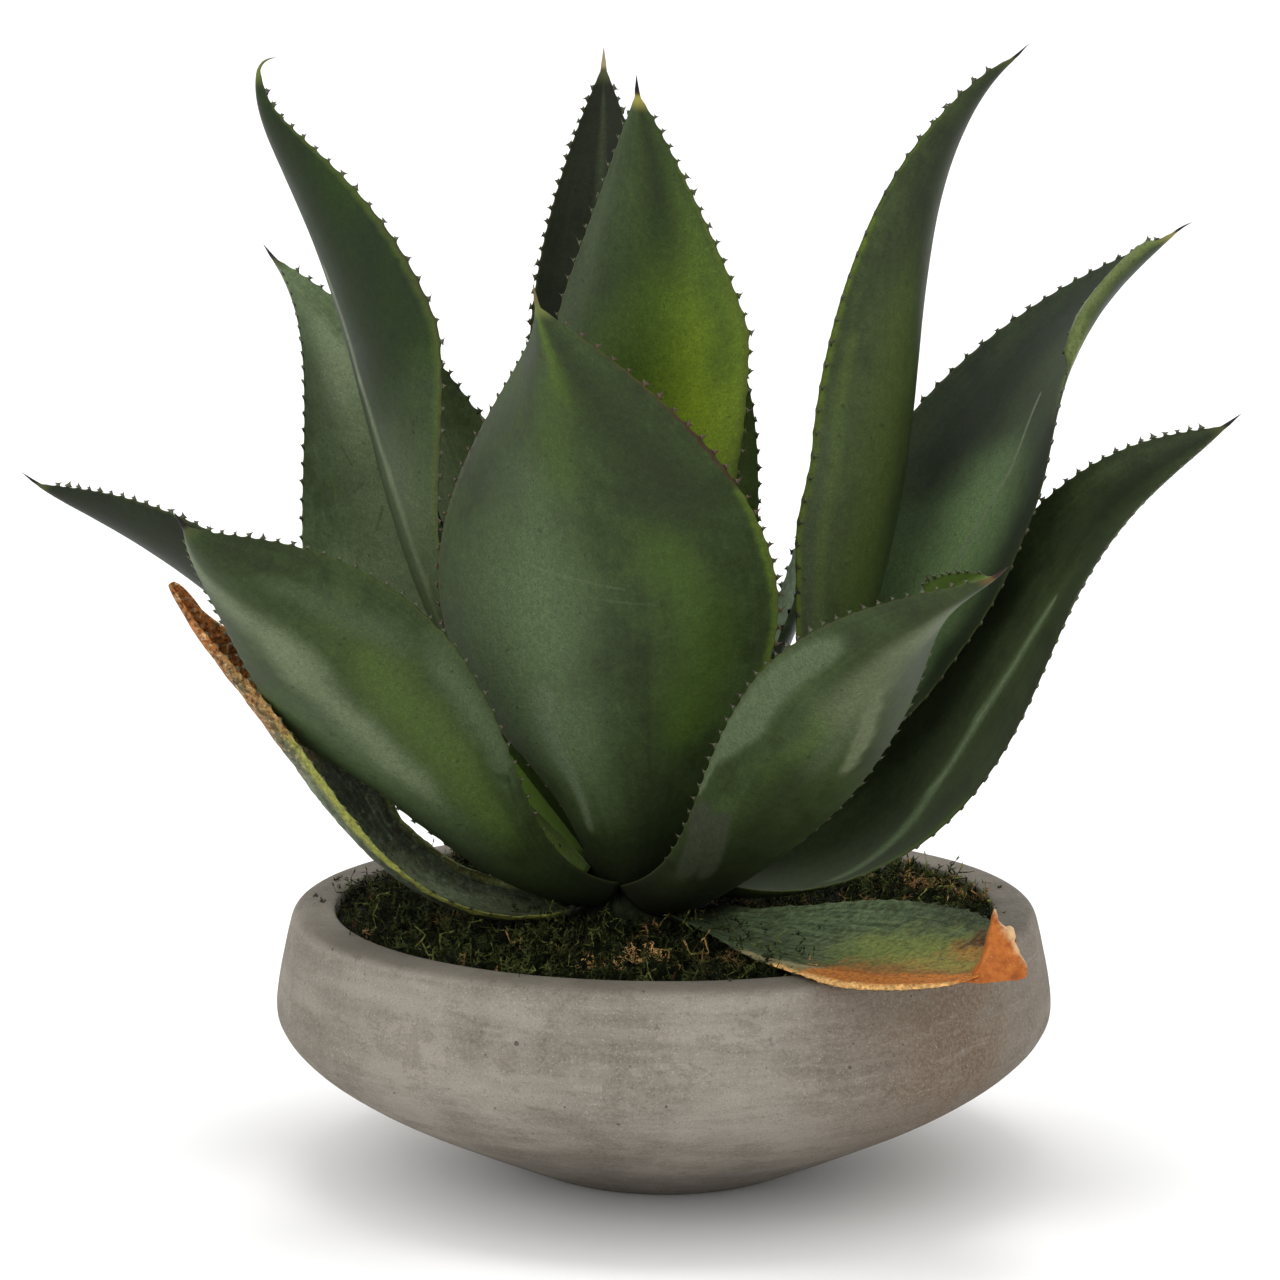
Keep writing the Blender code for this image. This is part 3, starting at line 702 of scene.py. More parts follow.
def green_skin(name, look):
    """Waxy green blade with broad soft patches, waxy bloom that also carries a painted sheen, painted light
    in lit zones, fine grain, a thin horny rim and painted shade at the foot.
    """
    made, graph, shader, place = skin_start(name)
    blade = graph.node("ShaderNodeAttribute", attribute_name="blade").outputs["Vector"]
    share, across, face = graph.parts(blade)
    reach = graph.math("ABSOLUTE", across)
    streak_place = graph.join(graph.times(share, 3.0), graph.times(across, 14.0), look["seed"])
    streak = graph.noise(streak_place, 1.0, 5.0, 0.6)
    cloud = graph.noise(graph.shift(place, (look["seed"], 0.0, 0.0)), 14.0, 5.0, 0.6, 0.6)
    blotch = graph.noise(place, 75.0, 4.0, 0.6)
    grain = graph.noise(place, 700.0, 3.0, 0.7)
    tone = graph.plus(graph.times(streak, 0.2), graph.times(cloud, 0.55))
    tone = graph.plus(tone, graph.times(blotch, 0.25))
    colour = graph.mix(graph.span(tone, 0.36, 0.64), look["deep"], look["mid"])
    drift = graph.node("ShaderNodeTexNoise", {"Vector": place, "Scale": 16.0, "Detail": 3.0}).outputs["Color"]
    wander = graph.stretch(graph.away(drift, (0.5, 0.5, 0.5)), 0.45)
    colour = lay_marks(graph, colour, share, across, wander, look["marks"], look)
    # Painted shade: towards the foot the blade is mixed into the dark foot tint, which stands in for the
    # shade deep in the rosette
    colour = graph.mix(graph.span(share, 0.0, look["foot_shade_to"], 0.9, 0.0), colour, look["foot"])
    thread = graph.stretch(graph.away(drift, (0.5, 0.5, 0.5)), 0.05)
    colour = lay_marks(graph, colour, share, across, thread, look["lines"], look)
    shade = graph.node("ShaderNodeTexNoise",
                       {"Vector": place, "Scale": 260.0, "Detail": 6.0, "Roughness": 0.75})
    lift = graph.span(shade, 0.3, 0.7, 0.80, 1.22, smooth=False)
    colour = graph.lit(colour, lift)
    gain = graph.span(grain, 0.46, 0.72, 1.0, 1.4, smooth=False)
    colour = graph.mix(1.0, colour, graph.join(gain, gain, graph.times(gain, 0.85)), "MULTIPLY")
    colour = graph.mix(graph.span(graph.noise(place, 900.0, 2.0), 0.56, 0.72, 0.0, 0.45), colour,
                       look["deep"])
    colour = graph.mix(graph.span(graph.noise(place, 160.0, 1.0), 0.73, 0.78, 0.0, 0.55), colour,
                       look["deep"])
    # On left_back and left_low this inner tint is painted light, which brightens the shaded upper face near
    # the foot
    inner = graph.times(graph.span(face, 0.0, 0.35),
                        graph.span(share, look["inner_from"], look["inner_from"] + 0.05))
    inner = graph.times(inner, graph.span(share, look["inner_to"], look["inner_to"] - 0.12))
    colour = graph.mix(inner, colour, look["inner"])
    rim = graph.times(graph.span(reach, 0.955, 0.985), look["rim_share"])
    horn = graph.mix(graph.span(graph.noise(streak_place, 2.0, 3.0), 0.4, 0.6), look["rim"], look["horn"])
    colour = graph.mix(rim, colour, horn)
    colour = graph.mix(graph.span(share, 0.978, 1.0), colour, look["collar"])
    colour = graph.mix(graph.span(share, 1.02, 1.3), colour, look["spine"])
    graph.feed(shader.inputs["Base Color"], colour)
    rough = graph.plus(tone, graph.times(grain, 0.25))
    graph.feed(shader.inputs["Roughness"], graph.span(rough, 0.35, 0.85, look["gloss"], look["gloss"] + 0.22))
    shader.inputs["Specular IOR Level"].default_value = 0.16
    height = graph.plus(graph.times(streak, 0.5), graph.times(grain, 0.25))
    height = graph.plus(height, graph.times(blotch, 0.3))
    bump(graph, shader, height, 0.0008, 0.3)
    return made


def dried_skin(name, look):
    """Withering blade: streaked green that turns yellow, then blistered orange-brown tissue."""
    made, graph, shader, place = skin_start(name)
    share, across, face = graph.parts(graph.node("ShaderNodeAttribute",
                                                 attribute_name="blade").outputs["Vector"])
    streak_place = graph.join(graph.times(share, 7.0), graph.times(across, 16.0), look["seed"])
    streak = graph.noise(streak_place, 1.0, 5.0, 0.65)
    mottle = graph.noise(place, 210.0, 6.0, 0.7)
    tone = graph.plus(graph.times(streak, 0.5), graph.times(mottle, 0.5))
    colour = graph.mix(graph.span(tone, 0.38, 0.62), look["deep"], look["mid"])
    drift = graph.node("ShaderNodeTexNoise",
                       {"Vector": place, "Scale": 75.0, "Detail": 6.0, "Roughness": 0.75})
    drift = graph.away(drift.outputs["Color"], (0.5, 0.5, 0.5))
    colour = lay_marks(graph, colour, share, across, graph.stretch(drift, 1.25), look["marks"], look)
    upper = graph.times(graph.span(face, -0.1, 0.3), graph.span(share, look["char"], look["char"] + 0.14))
    colour = graph.mix(graph.times(upper, 0.85), colour, look["brown"])
    colour = graph.mix(graph.span(streak, 0.62, 0.8, 0.0, look["pale_streak"]), colour, look["pale"])
    # Painted shade: towards the foot the blade is mixed into the dark foot tint, which stands in for the
    # shade deep in the rosette
    colour = graph.mix(graph.span(share, 0.0, look["foot_shade_to"], 0.9, 0.0), colour, look["foot"])
    colour = lay_marks(graph, colour, share, across, graph.stretch(drift, 0.2), look["lines"], look)
    loose = graph.shift(place, graph.stretch(drift, 0.004))
    cells = graph.noise(loose, look["blister"], 3.0, 0.6)
    dry = graph.span(share, look["dry"], look["dry"] + 0.25, 0.1, 1.0)
    ridge = graph.times(graph.span(cells, 0.53, 0.64), graph.span(share, look["dry"], look["dry"] + 0.2))
    pits = graph.times(graph.span(cells, 0.47, 0.37), dry)
    colour = graph.mix(graph.span(share, look["dead"], look["dead"] + 0.05), colour, look["orange"])
    colour = graph.mix(graph.times(pits, look["pitted"]), colour, look["pit"])
    colour = graph.mix(graph.times(ridge, look["ridge"]), colour, look["cream"])
    colour = graph.mix(graph.span(mottle, 0.56, 0.70, 0.0, 0.45), colour, look["pale"])
    colour = graph.mix(graph.span(mottle, 0.44, 0.34, 0.0, look["mottled"]), colour, look["pit"])
    lift = graph.span(graph.noise(loose, 380.0, 5.0, 0.75), 0.34, 0.66, 0.55, 1.45, smooth=False)
    colour = graph.lit(colour, lift)
    graph.feed(shader.inputs["Base Color"], colour)
    dull(shader, 0.62, 0.2)
    height = graph.plus(graph.times(mottle, 0.8), graph.times(streak, 0.4))
    height = graph.plus(height, graph.times(graph.less(ridge, pits), 0.7))
    bump(graph, shader, height, 0.0022, 0.8)
    return made


def horn_skin(name, low, top, point):
    """Tooth that runs from the colour of the rim to a dark point."""
    made, graph, shader, place = skin_start(name)
    height = graph.node("ShaderNodeAttribute", attribute_name="tooth").outputs["Fac"]
    stain = graph.plus(height, graph.times(graph.less(graph.noise(place, 90.0), 0.5), 0.9))
    colour = graph.mix(graph.span(stain, 0.0, 0.55), low, top)
    colour = graph.mix(graph.span(height, 0.6, 1.0, 0.0, 0.85), colour, point)
    graph.feed(shader.inputs["Base Color"], colour)
    shader.inputs["Roughness"].default_value = 0.42
    bump(graph, shader, graph.noise(place, 1500.0), 0.0002, 0.3)
    return made


# Share along the blade is stretched by this much against across, so that a mark is as wide as it is long
LONG = 3.6

# Tints are linear red, green, blue
GREEN_LOOK = {
    # The bright and glow tints are painted light, where the blade is lit or light shines through it
    "deep": (0.016, 0.025, 0.008, 1), "mid": (0.034, 0.054, 0.018, 1), "bright": (0.054, 0.092, 0.013, 1),
    # The bloom tint is the leaf's waxy bloom together with a painted sheen of the lamps
    "glow": (0.098, 0.156, 0.005, 1), "bloom_and_sheen": (0.094, 0.114, 0.070, 1), "grey": (0.058, 0.080, 0.045, 1),
    "dark": (0.008, 0.011, 0.005, 1), "pale": (0.130, 0.158, 0.105, 1), "fleck": (0.066, 0.100, 0.022, 1),
    "red": (0.036, 0.010, 0.007, 1), "yellow": (0.150, 0.180, 0.030, 1),
    # The foot tint, and the share of the length it reaches, are painted shade at the base of the blade
    "foot": (0.007, 0.008, 0.005, 1), "rim": (0.070, 0.100, 0.016, 1), "horn": (0.045, 0.028, 0.013, 1),
    "collar": (0.050, 0.060, 0.018, 1), "spine": (0.012, 0.008, 0.006, 1),
    "inner": (0.11, 0.17, 0.035, 1), "inner_from": 2.0, "inner_to": 1.2, "rim_share": 0.3, "gloss": 0.42,
    "foot_shade_to": 0.24, "marks": [], "lines": [], "teeth": "dark",
}

LOOKS = {
    "tall_left": {
        "deep": (0.008, 0.015, 0.0035, 1), "mid": (0.0150, 0.033, 0.0045, 1),
        "grey": (0.078, 0.104, 0.058, 1),
        "marks": [("grey", (0.42, 0.65), (0.1, 0.7), 0.9, 0.9), ("deep", (1.0, 0.3), (0.74, 0.4), 0.8, 0.8)],
        # The pale lines are a painted highlight along the keel ridge
        "lines": [("pale", (0.75, 0.06), (0.62, 0.2), 0.06, 0.7),
                  ("pale", (0.62, 0.2), (0.5, 0.46), 0.06, 0.8),
                  ("pale", (0.5, 0.46), (0.36, 0.74), 0.07, 0.8),
                  ("pale", (0.36, 0.74), (0.22, 0.8), 0.08, 0.6),
                  ("rim", (0.95, 0.97), (0.4, 0.97), 0.06, 0.4)],
        "collar": (0.10, 0.13, 0.02, 1), "spine": (0.10, 0.12, 0.03, 1), "teeth": "dark"},
    "tall_right": {
        "deep": (0.020, 0.029, 0.0105, 1), "mid": (0.041, 0.059, 0.022, 1),
        "bright": (0.052, 0.076, 0.021, 1),
        "marks": [("dark", (1.0, -0.4), (0.82, -0.4), 0.7, 0.6),
                  ("bright", (0.7, -0.35), (0.36, -0.4), 0.42, 0.75),
                  ("grey", (0.45, 0.2), (0.3, 0.2), 0.4, 0.45),
                  ("grey", (0.55, -0.85), (0.3, -0.85), 0.2, 0.5)],
        # The rim and glow lines on the minus margin are the margin's own rim colour plus painted light on the
        # rolled, lit margin
        "lines": [("rim", (0.78, -0.97), (0.2, -0.97), 0.09, 1.3),
                  ("glow", (0.92, -0.96), (0.6, -0.96), 0.05, 0.25),
                  ("fleck", (0.66, -0.8), (0.24, -0.75), 0.09, 0.45)]},
    # left_back's colours are raised well above the leaf's own to light it where tall_left shades it: painted
    # light. Its glow and inner tints paint light on the shaded upper face near the foot
    "left_back": {
        "deep": (0.066, 0.094, 0.048, 1), "mid": (0.146, 0.200, 0.112, 1), "bloom_and_sheen": (0.195, 0.235, 0.165, 1),
        "grey": (0.185, 0.235, 0.145, 1), "glow": (0.42, 0.66, 0.13, 1), "foot_shade_to": 0.01,
        "marks": [("bloom_and_sheen", (0.84, -0.1), (0.78, 0.25), 0.3, 0.75),
                  ("grey", (0.8, 0.1), (0.3, 0.2), 0.7, 0.6)],
        "lines": [("pale", (0.86, 0.33), (0.79, 0.3), 0.07, 0.5),
                  ("pale", (0.79, 0.3), (0.62, 0.31), 0.05, 0.35),
                  ("grey", (0.6, 0.1), (0.42, 0.16), 0.06, 0.8),
                  ("deep", (0.7, 0.42), (0.67, 0.36), 0.02, 0.8),
                  ("deep", (0.64, 0.3), (0.63, 0.42), 0.015, 0.8),
                  ("deep", (0.6, 0.2), (0.57, 0.3), 0.02, 0.6),
                  ("yellow", (0.66, 0.62), (0.63, 0.6), 0.03, 0.4)],
        "inner": (0.42, 0.66, 0.13, 1), "inner_from": -0.1, "inner_to": 0.3},
    # The glow line and the bright inner tint at the foot are painted light on the shaded upper face deep in
    # the rosette
    "left_low": {"deep": (0.0055, 0.0085, 0.0034, 1), "mid": (0.011, 0.0165, 0.0065, 1), "foot_shade_to": 0.01,
                 "glow": (0.22, 0.34, 0.08, 1), "lines": [("glow", (0.0, 0.0), (0.12, 0.0), 1.3, 1.5)],
                 "inner": (0.30, 0.48, 0.10, 1), "inner_from": -0.1, "inner_to": 0.36},
    "left_front": {
        "bright": (0.054, 0.086, 0.020, 1), "bloom_and_sheen": (0.115, 0.142, 0.090, 1),
        "grey": (0.064, 0.092, 0.050, 1),
        "marks": [("grey", (0.5, -0.5), (0.3, -0.5), 0.8, 0.6),
                  ("bright", (0.62, 0.3), (0.32, 0.35), 0.5, 0.8),
                  ("bloom_and_sheen", (0.95, -0.85), (0.7, -0.3), 0.32, 0.75),
                  ("bloom_and_sheen", (0.7, -0.3), (0.4, -0.2), 0.3, 0.75),
                  ("grey", (0.55, 0.85), (0.36, 0.85), 0.3, 0.85),
                  ("grey", (0.8, 0.3), (0.66, 0.62), 0.3, 0.5),
                  # The dark mark running to the foot is painted shade
                  ("dark", (0.24, -0.6), (0.0, -0.2), 0.7, 0.4)],
        "lines": [("deep", (0.345, 0.7), (0.325, 0.84), 0.05, 0.5),
                  ("deep", (0.325, 0.84), (0.295, 0.8), 0.05, 0.5)]},
    "front": {
        "bright": (0.044, 0.080, 0.012, 1), "grey": (0.072, 0.104, 0.056, 1),
        "lime": (0.072, 0.118, 0.014, 1), "cap": (0.058, 0.100, 0.012, 1), "strip": (0.082, 0.108, 0.068, 1),
        "foot_shade_to": 0.17,
        "marks": [("grey", (0.5, -0.4), (0.3, -0.4), 0.7, 1.0), ("grey", (0.7, -0.3), (0.5, -0.3), 0.5, 0.6),
                  ("bright", (0.62, 0.5), (0.34, 0.62), 0.32, 0.65),
                  ("bright", (0.86, -0.1), (0.74, -0.1), 0.3, 0.35),
                  ("cap", (0.99, 0.1), (0.9, 0.15), 0.34, 1.0),
                  # The dark mark at the foot is painted shade
                  ("deep", (0.9, 0.4), (0.74, 0.6), 0.5, 0.9), ("dark", (0.16, 0.3), (0.0, 0.2), 0.7, 0.6)],
        "lines": [("strip", (0.37, -0.34), (0.25, -0.45), 0.12, 1.6),
                  ("strip", (0.25, -0.45), (0.15, -0.56), 0.11, 1.2),
                  ("red", (0.95, 0.985), (0.72, 0.985), 0.025, 0.9),
                  ("red", (0.73, -0.975), (0.7, -0.975), 0.03, 0.4),
                  ("lime", (0.7, 0.99), (0.28, 0.99), 0.055, 1.2),
                  ("bloom_and_sheen", (0.585, -0.35), (0.56, 0.2), 0.014, 0.3),
                  ("bloom_and_sheen", (0.545, 0.0), (0.535, 0.35), 0.012, 0.22),
                  ("red", (0.925, -0.2), (0.922, -0.05), 0.03, 0.45)],
        "collar": (0.11, 0.13, 0.03, 1), "spine": (0.12, 0.10, 0.04, 1), "teeth": "red"},
    "front_upright": {
        "glow": (0.135, 0.200, 0.012, 1),
        # The bright and glow marks are painted light shining through the lower part of the blade
        "marks": [("bright", (0.82, 0.4), (0.5, -0.1), 0.9, 0.85),
                  ("glow", (0.62, 0.75), (0.42, 0.3), 0.8, 1.05),
                  ("bright", (0.8, 0.75), (0.66, 0.8), 0.3, 0.8),
                  ("deep", (1.0, 0.4), (0.88, 0.3), 0.6, 1.0), ("deep", (0.82, 0.1), (0.76, -0.4), 0.4, 0.5),
                  ("grey", (0.85, -0.8), (0.6, -0.8), 0.35, 0.4)],
        "lines": [("rim", (0.9, 0.97), (0.4, 0.97), 0.06, 0.6),
                  ("deep", (0.8, -0.18), (0.795, -0.15), 0.02, 0.6)],
        "collar": (0.26, 0.24, 0.05, 1), "teeth": "pale"},
    "back_upright": {"deep": (0.009, 0.011, 0.006, 1), "mid": (0.017, 0.021, 0.011, 1), "teeth": "dark",
                     "lines": [("grey", (0.95, 0.0), (0.6, 0.15), 0.2, 0.35)],
                     "collar": (0.06, 0.07, 0.025, 1), "spine": (0.30, 0.24, 0.13, 1)},
    "back_right_upright": {"deep": (0.028, 0.043, 0.012, 1), "mid": (0.062, 0.096, 0.028, 1)},
    "right_back": {
        "deep": (0.011, 0.0175, 0.008, 1), "mid": (0.032, 0.050, 0.022, 1), "grey": (0.126, 0.197, 0.092, 1),
        "yellow": (0.10, 0.13, 0.045, 1),
        "marks": [("grey", (0.56, -0.2), (0.38, -0.15), 0.7, 0.95),
                  ("grey", (0.5, 0.45), (0.3, 0.4), 0.7, 0.6),
                  ("deep", (0.9, 0.4), (0.62, 0.5), 0.6, 1.0), ("deep", (0.76, -0.9), (0.4, -0.9), 0.35, 1.0),
                  ("yellow", (0.8, -0.85), (0.96, -0.9), 0.3, 1.1)],
        "lines": [("pale", (0.74, -0.17), (0.64, -0.31), 0.028, 1.1),
                  ("pale", (0.64, -0.31), (0.5, -0.23), 0.033, 1.1),
                  ("pale", (0.5, -0.23), (0.34, -0.25), 0.05, 0.3)],
        "collar": (0.20, 0.19, 0.05, 1)},
    "right_low": {
        "deep": (0.016, 0.023, 0.010, 1), "mid": (0.033, 0.047, 0.020, 1), "grey": (0.090, 0.130, 0.070, 1),
        "foot_shade_to": 0.12,
        "marks": [("dark", (1.0, 0.1), (0.84, 0.1), 0.7, 0.75), ("dark", (0.5, 0.6), (0.2, 0.4), 0.7, 0.5)],
        "lines": [("mid", (0.7, -0.28), (0.48, -0.1), 0.26, 0.9),
                  ("mid", (0.48, -0.1), (0.3, -0.4), 0.26, 0.9),
                  ("grey", (0.66, -0.26), (0.48, -0.09), 0.12, 0.8),
                  ("grey", (0.48, -0.09), (0.37, -0.15), 0.12, 0.8),
                  ("grey", (0.37, -0.15), (0.2, -0.7), 0.12, 0.8),
                  ("pale", (0.68, -0.27), (0.48, -0.09), 0.04, 0.7),
                  ("pale", (0.48, -0.09), (0.37, -0.15), 0.04, 0.7),
                  # The pale and bright lines along the minus margin are a painted highlight on its rim
                  ("pale", (0.86, -0.97), (0.7, -0.97), 0.05, 0.6),
                  ("bright", (0.4, -0.95), (0.1, -0.95), 0.1, 0.6)]},
    # These pale tints are raised above the leaf's own colour to light it in the shade of the other leaves:
    # painted light
    "right_inner_back": {"deep": (0.165, 0.212, 0.165, 1), "mid": (0.31, 0.40, 0.31, 1), "foot_shade_to": 0.02},
    "right_front": {
        # The foot tint, reaching far up this blade, is painted shade at its base
        "foot_shade_to": 0.34, "foot": (0.010, 0.010, 0.007, 1), "ash": (0.034, 0.041, 0.028, 1),
        "strip": (0.066, 0.092, 0.052, 1),
        "inner_from": 0.74,
        "marks": [("grey", (0.8, 0.3), (0.6, 0.0), 0.6, 0.6),
                  ("bright", (0.6, -0.1), (0.46, -0.25), 0.3, 0.35),
                  ("bloom_and_sheen", (0.86, 0.1), (0.66, 0.1), 0.45, 0.85),
                  ("grey", (0.62, 0.2), (0.5, 0.05), 0.25, 0.6),
                  # The dark mark that runs to the foot is painted shade
                  ("deep", (0.46, -0.1), (0.3, -0.2), 0.45, 0.8), ("dark", (0.3, 0.2), (0.0, 0.0), 0.9, 0.6),
                  ("bloom_and_sheen", (0.7, 0.25), (0.52, 0.5), 0.16, 1.6)],
        "lines": [("strip", (0.36, -1.0), (0.47, -0.94), 0.10, 2.5),
                  ("strip", (0.47, -0.95), (0.54, -0.76), 0.22, 2.5),
                  ("strip", (0.55, -0.8), (0.72, -0.72), 0.26, 2.0),
                  ("ash", (0.3, -0.78), (0.2, -0.6), 0.24, 2.5),
                  ("ash", (0.325, -0.5), (0.22, -0.3), 0.18, 2.0)],
        "collar": (0.09, 0.06, 0.02, 1), "spine": (0.03, 0.012, 0.008, 1), "teeth": "dark"},
    "left_inner_back": {"deep": (0.037, 0.055, 0.020, 1), "mid": (0.080, 0.114, 0.045, 1)},
}

DRIED_LOOK = {
    "deep": (0.010, 0.014, 0.007, 1), "mid": (0.045, 0.060, 0.030, 1), "pale": (0.11, 0.14, 0.07, 1),
    "yellow": (0.20, 0.19, 0.035, 1), "lime": (0.19, 0.205, 0.042, 1), "orange": (0.42, 0.14, 0.025, 1),
    "tan": (0.42, 0.25, 0.11, 1), "amber": (0.36, 0.17, 0.04, 1), "brown": (0.075, 0.030, 0.011, 1),
    "dark": (0.008, 0.010, 0.005, 1), "cream": (0.36, 0.30, 0.15, 1), "pit": (0.022, 0.016, 0.007, 1),
    # The foot tint, and the share of the length it reaches, are painted shade at the base of the blade
    "foot": (0.006, 0.007, 0.004, 1), "pale_streak": 0.4, "foot_shade_to": 0.2, "blister": 330.0, "ridge": 0.35,
    "dry": 0.4,
    "char": 2.0, "dead": 0.95, "pitted": 0.8, "mottled": 0.5, "marks": [], "lines": [],
}

DRIED_LOOKS = {
    "old_left": {
        "deep": (0.013, 0.018, 0.0095, 1), "mid": (0.060, 0.077, 0.044, 1), "pale": (0.15, 0.18, 0.10, 1),
        "foot_shade_to": 0.06,
        "pale_streak": 0.6, "orange": (0.38, 0.135, 0.028, 1), "pit": (0.050, 0.020, 0.008, 1),
        "cream": (0.56, 0.40, 0.20, 1), "brown": (0.105, 0.040, 0.013, 1), "lime": (0.235, 0.25, 0.05, 1),
        "amber": (0.33, 0.185, 0.055, 1), "dead": 0.9, "blister": 330.0, "ridge": 0.75, "dry": 0.6,
        "char": 0.84,
        "marks": [("pale", (0.84, 0.2), (0.62, 0.4), 0.8, 1.0), ("dark", (0.6, -0.3), (0.4, -0.4), 0.7, 0.5),
                  ("pale", (0.3, 0.0), (0.1, 0.1), 0.8, 0.8), ("amber", (0.94, 0.3), (0.84, 0.5), 0.5, 1.0),
                  ("orange", (1.2, 0.0), (0.88, 0.0), 1.0, 1.2),
                  ("brown", (0.97, -0.7), (0.78, -0.7), 0.6, 1.1)],
        "lines": [("lime", (0.74, 0.95), (0.08, 0.95), 0.19, 1.3),
                  ("amber", (0.92, 0.95), (0.76, 0.95), 0.2, 1.0),
                  ("lime", (0.6, -0.92), (0.1, -0.92), 0.15, 0.4)]},
    "old_right": {
        "deep": (0.026, 0.042, 0.017, 1), "mid": (0.105, 0.145, 0.066, 1), "foot_shade_to": 0.13, "pale_streak": 0.7,
        "blister": 700.0, "ridge": 0.12, "dry": 0.5, "pitted": 0.18, "mottled": 0.6,
        "pit": (0.06, 0.045, 0.014, 1),
        "yellow": (0.33, 0.28, 0.06, 1), "lime": (0.20, 0.245, 0.050, 1), "dead": 0.9,
        # The orange and tan are the dry margin's own colours, raised to light the curled near margin that
        # faces down into shade: partly painted light
        "orange": (0.60, 0.20, 0.032, 1),
        "tan": (0.85, 0.48, 0.17, 1),
        "marks": [("lime", (0.86, 0.3), (0.62, 0.0), 0.7, 0.85),
                  ("yellow", (0.9, -0.1), (0.74, -0.2), 0.42, 0.9),
                  ("amber", (0.93, -0.4), (0.64, -0.5), 0.36, 1.0),
                  ("amber", (0.92, 0.3), (0.82, 0.2), 0.3, 0.6),
                  ("orange", (0.9, 0.7), (0.84, 0.4), 0.35, 0.5),
                  ("brown", (0.9, 0.95), (0.83, 0.55), 0.3, 1.1),
                  ("deep", (0.8, 0.9), (0.6, 0.95), 0.25, 0.8)],
        "lines": [("cream", (0.62, -0.72), (0.36, -0.95), 0.16, 0.85),
                  ("orange", (0.66, -0.86), (0.78, -0.86), 0.42, 5.0),
                  ("orange", (0.78, -0.82), (1.1, -0.8), 0.46, 5.0),
                  ("orange", (1.0, -1.0), (1.0, 1.0), 0.26, 3.0),
                  ("tan", (0.5, -0.98), (0.95, -0.98), 0.13, 1.1),
                  ("brown", (0.62, -0.6), (0.76, -0.52), 0.05, 0.5)]},
}


def build_leaves():
    tree = leaf_tree()
    soft_mark_group()
    horns = {
        "dark": horn_skin("tooth_dark", (0.05, 0.06, 0.02, 1), (0.030, 0.014, 0.010, 1),
                          (0.008, 0.005, 0.004, 1)),
        "red": horn_skin("tooth_red", (0.05, 0.030, 0.012, 1), (0.050, 0.011, 0.008, 1),
                         (0.016, 0.006, 0.005, 1)),
        "pale": horn_skin("tooth_pale", (0.05, 0.06, 0.02, 1), (0.035, 0.022, 0.014, 1),
                          (0.25, 0.22, 0.17, 1)),
    }
    for number, (name, form) in enumerate(LEAVES.items()):
        leaf = Leaf({**form, **FINER.get(name, {})})
        seed = 3.7 * number
        if name in DRIED_LOOKS:
            skin = dried_skin("skin_" + name, {**DRIED_LOOK, "seed": seed, **DRIED_LOOKS[name]})
            horn = horns["dark"]
        else:
            look = {**GREEN_LOOK, "seed": seed, **LOOKS.get(name, {})}
            skin = green_skin("skin_" + name, look)
            horn = horns[look["teeth"]]
        rib, rows, teeth = leaf.rib("rib_" + name)
        piece = grown(rib, "blade_" + name, tree, {
            "Rows": rows + 1 + SPINE_ROWS, "Around": AROUND, "Teeth": teeth, "Rim": RIM_THICK * MM,
            "Scallop": leaf.form["scallop"] * MM, "Tooth Height": leaf.form["tooth"] * MM,
            "Tooth Base": TOOTH_BASE * MM,
            "Pucker": leaf.form["pucker"] * MM * 2, "Ripple": float(leaf.form["ripple"]),
            "Fold Radius": FOLD_RADIUS * MM,
            "Turn Plus": math.radians(leaf.form["fold_plus"][-1]),
            "Turn Minus": math.radians(leaf.form["fold_minus"][-1]),
            "Seed": seed, "Skin": skin, "Horn": horn})
        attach(piece, BODY)
        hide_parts("leaf_" + name)


def softened(points, rounds=2):
    """Cuts the corners of a profile, inside its own outline."""
    for _ in range(rounds):
        cut = [points[0]]
        for (r0, z0), (r1, z1) in zip(points, points[1:]):
            cut.append((r0 * 0.75 + r1 * 0.25, z0 * 0.75 + z1 * 0.25))
            cut.append((r0 * 0.25 + r1 * 0.75, z0 * 0.25 + z1 * 0.75))
        cut.append(points[-1])
        points = cut
    return points


def profile_rib(name, points, step=3.0):
    """Profile as a line of evenly set points, for the turning tree."""
    places = []
    for (r0, z0), (r1, z1) in zip(points, points[1:]):
        parts = max(1, round(math.hypot(r1 - r0, z1 - z0) / step))
        for part in range(parts):
            t = part / parts
            places.append(Vector((r0 + (r1 - r0) * t, 0, z0 + (z1 - z0) * t)) * MM)
    places.append(Vector((points[-1][0], 0, points[-1][1])) * MM)
    return show(bpy.data.objects.new(name, line_mesh(name, places))), len(places)


def turning_tree():
    """Turned body: a tube whose rings take their radius and height from the profile."""
    graph, group = new_tree("turned_body", [("Rows", "Int"), ("Turns", "Int"), ("Centre X", "Float"),
                                            ("Unevenness", "Float"), ("Skin", "Material")])
    read = rib_reader(graph, group["Geometry"])
    last = graph.less(group["Rows"], 1.0)
    tube, x, y, row = row_tube(graph, group["Turns"], last)
    radius, _, height = graph.parts(read("place", row))
    around = graph.join(graph.times(x, 1.3), graph.times(y, 1.3), graph.times(height, 9.0))
    swell = graph.less(graph.noise(around, 1.6, 3.0), 0.5)
    radius = graph.less(radius, graph.times(graph.math("ABSOLUTE", swell), group["Unevenness"]))
    point = graph.join(graph.plus(graph.times(x, radius), group["Centre X"]),
                       graph.times(y, radius), height)
    tube = graph.node("GeometryNodeSetPosition", {"Geometry": tube, "Position": point}).outputs[0]
    tube = graph.node("GeometryNodeSetShadeSmooth", {"Geometry": tube}).outputs[0]
    return end_tree(graph,
                    graph.node("GeometryNodeSetMaterial",
                               {"Geometry": tube, "Material": group["Skin"]}).outputs[0])


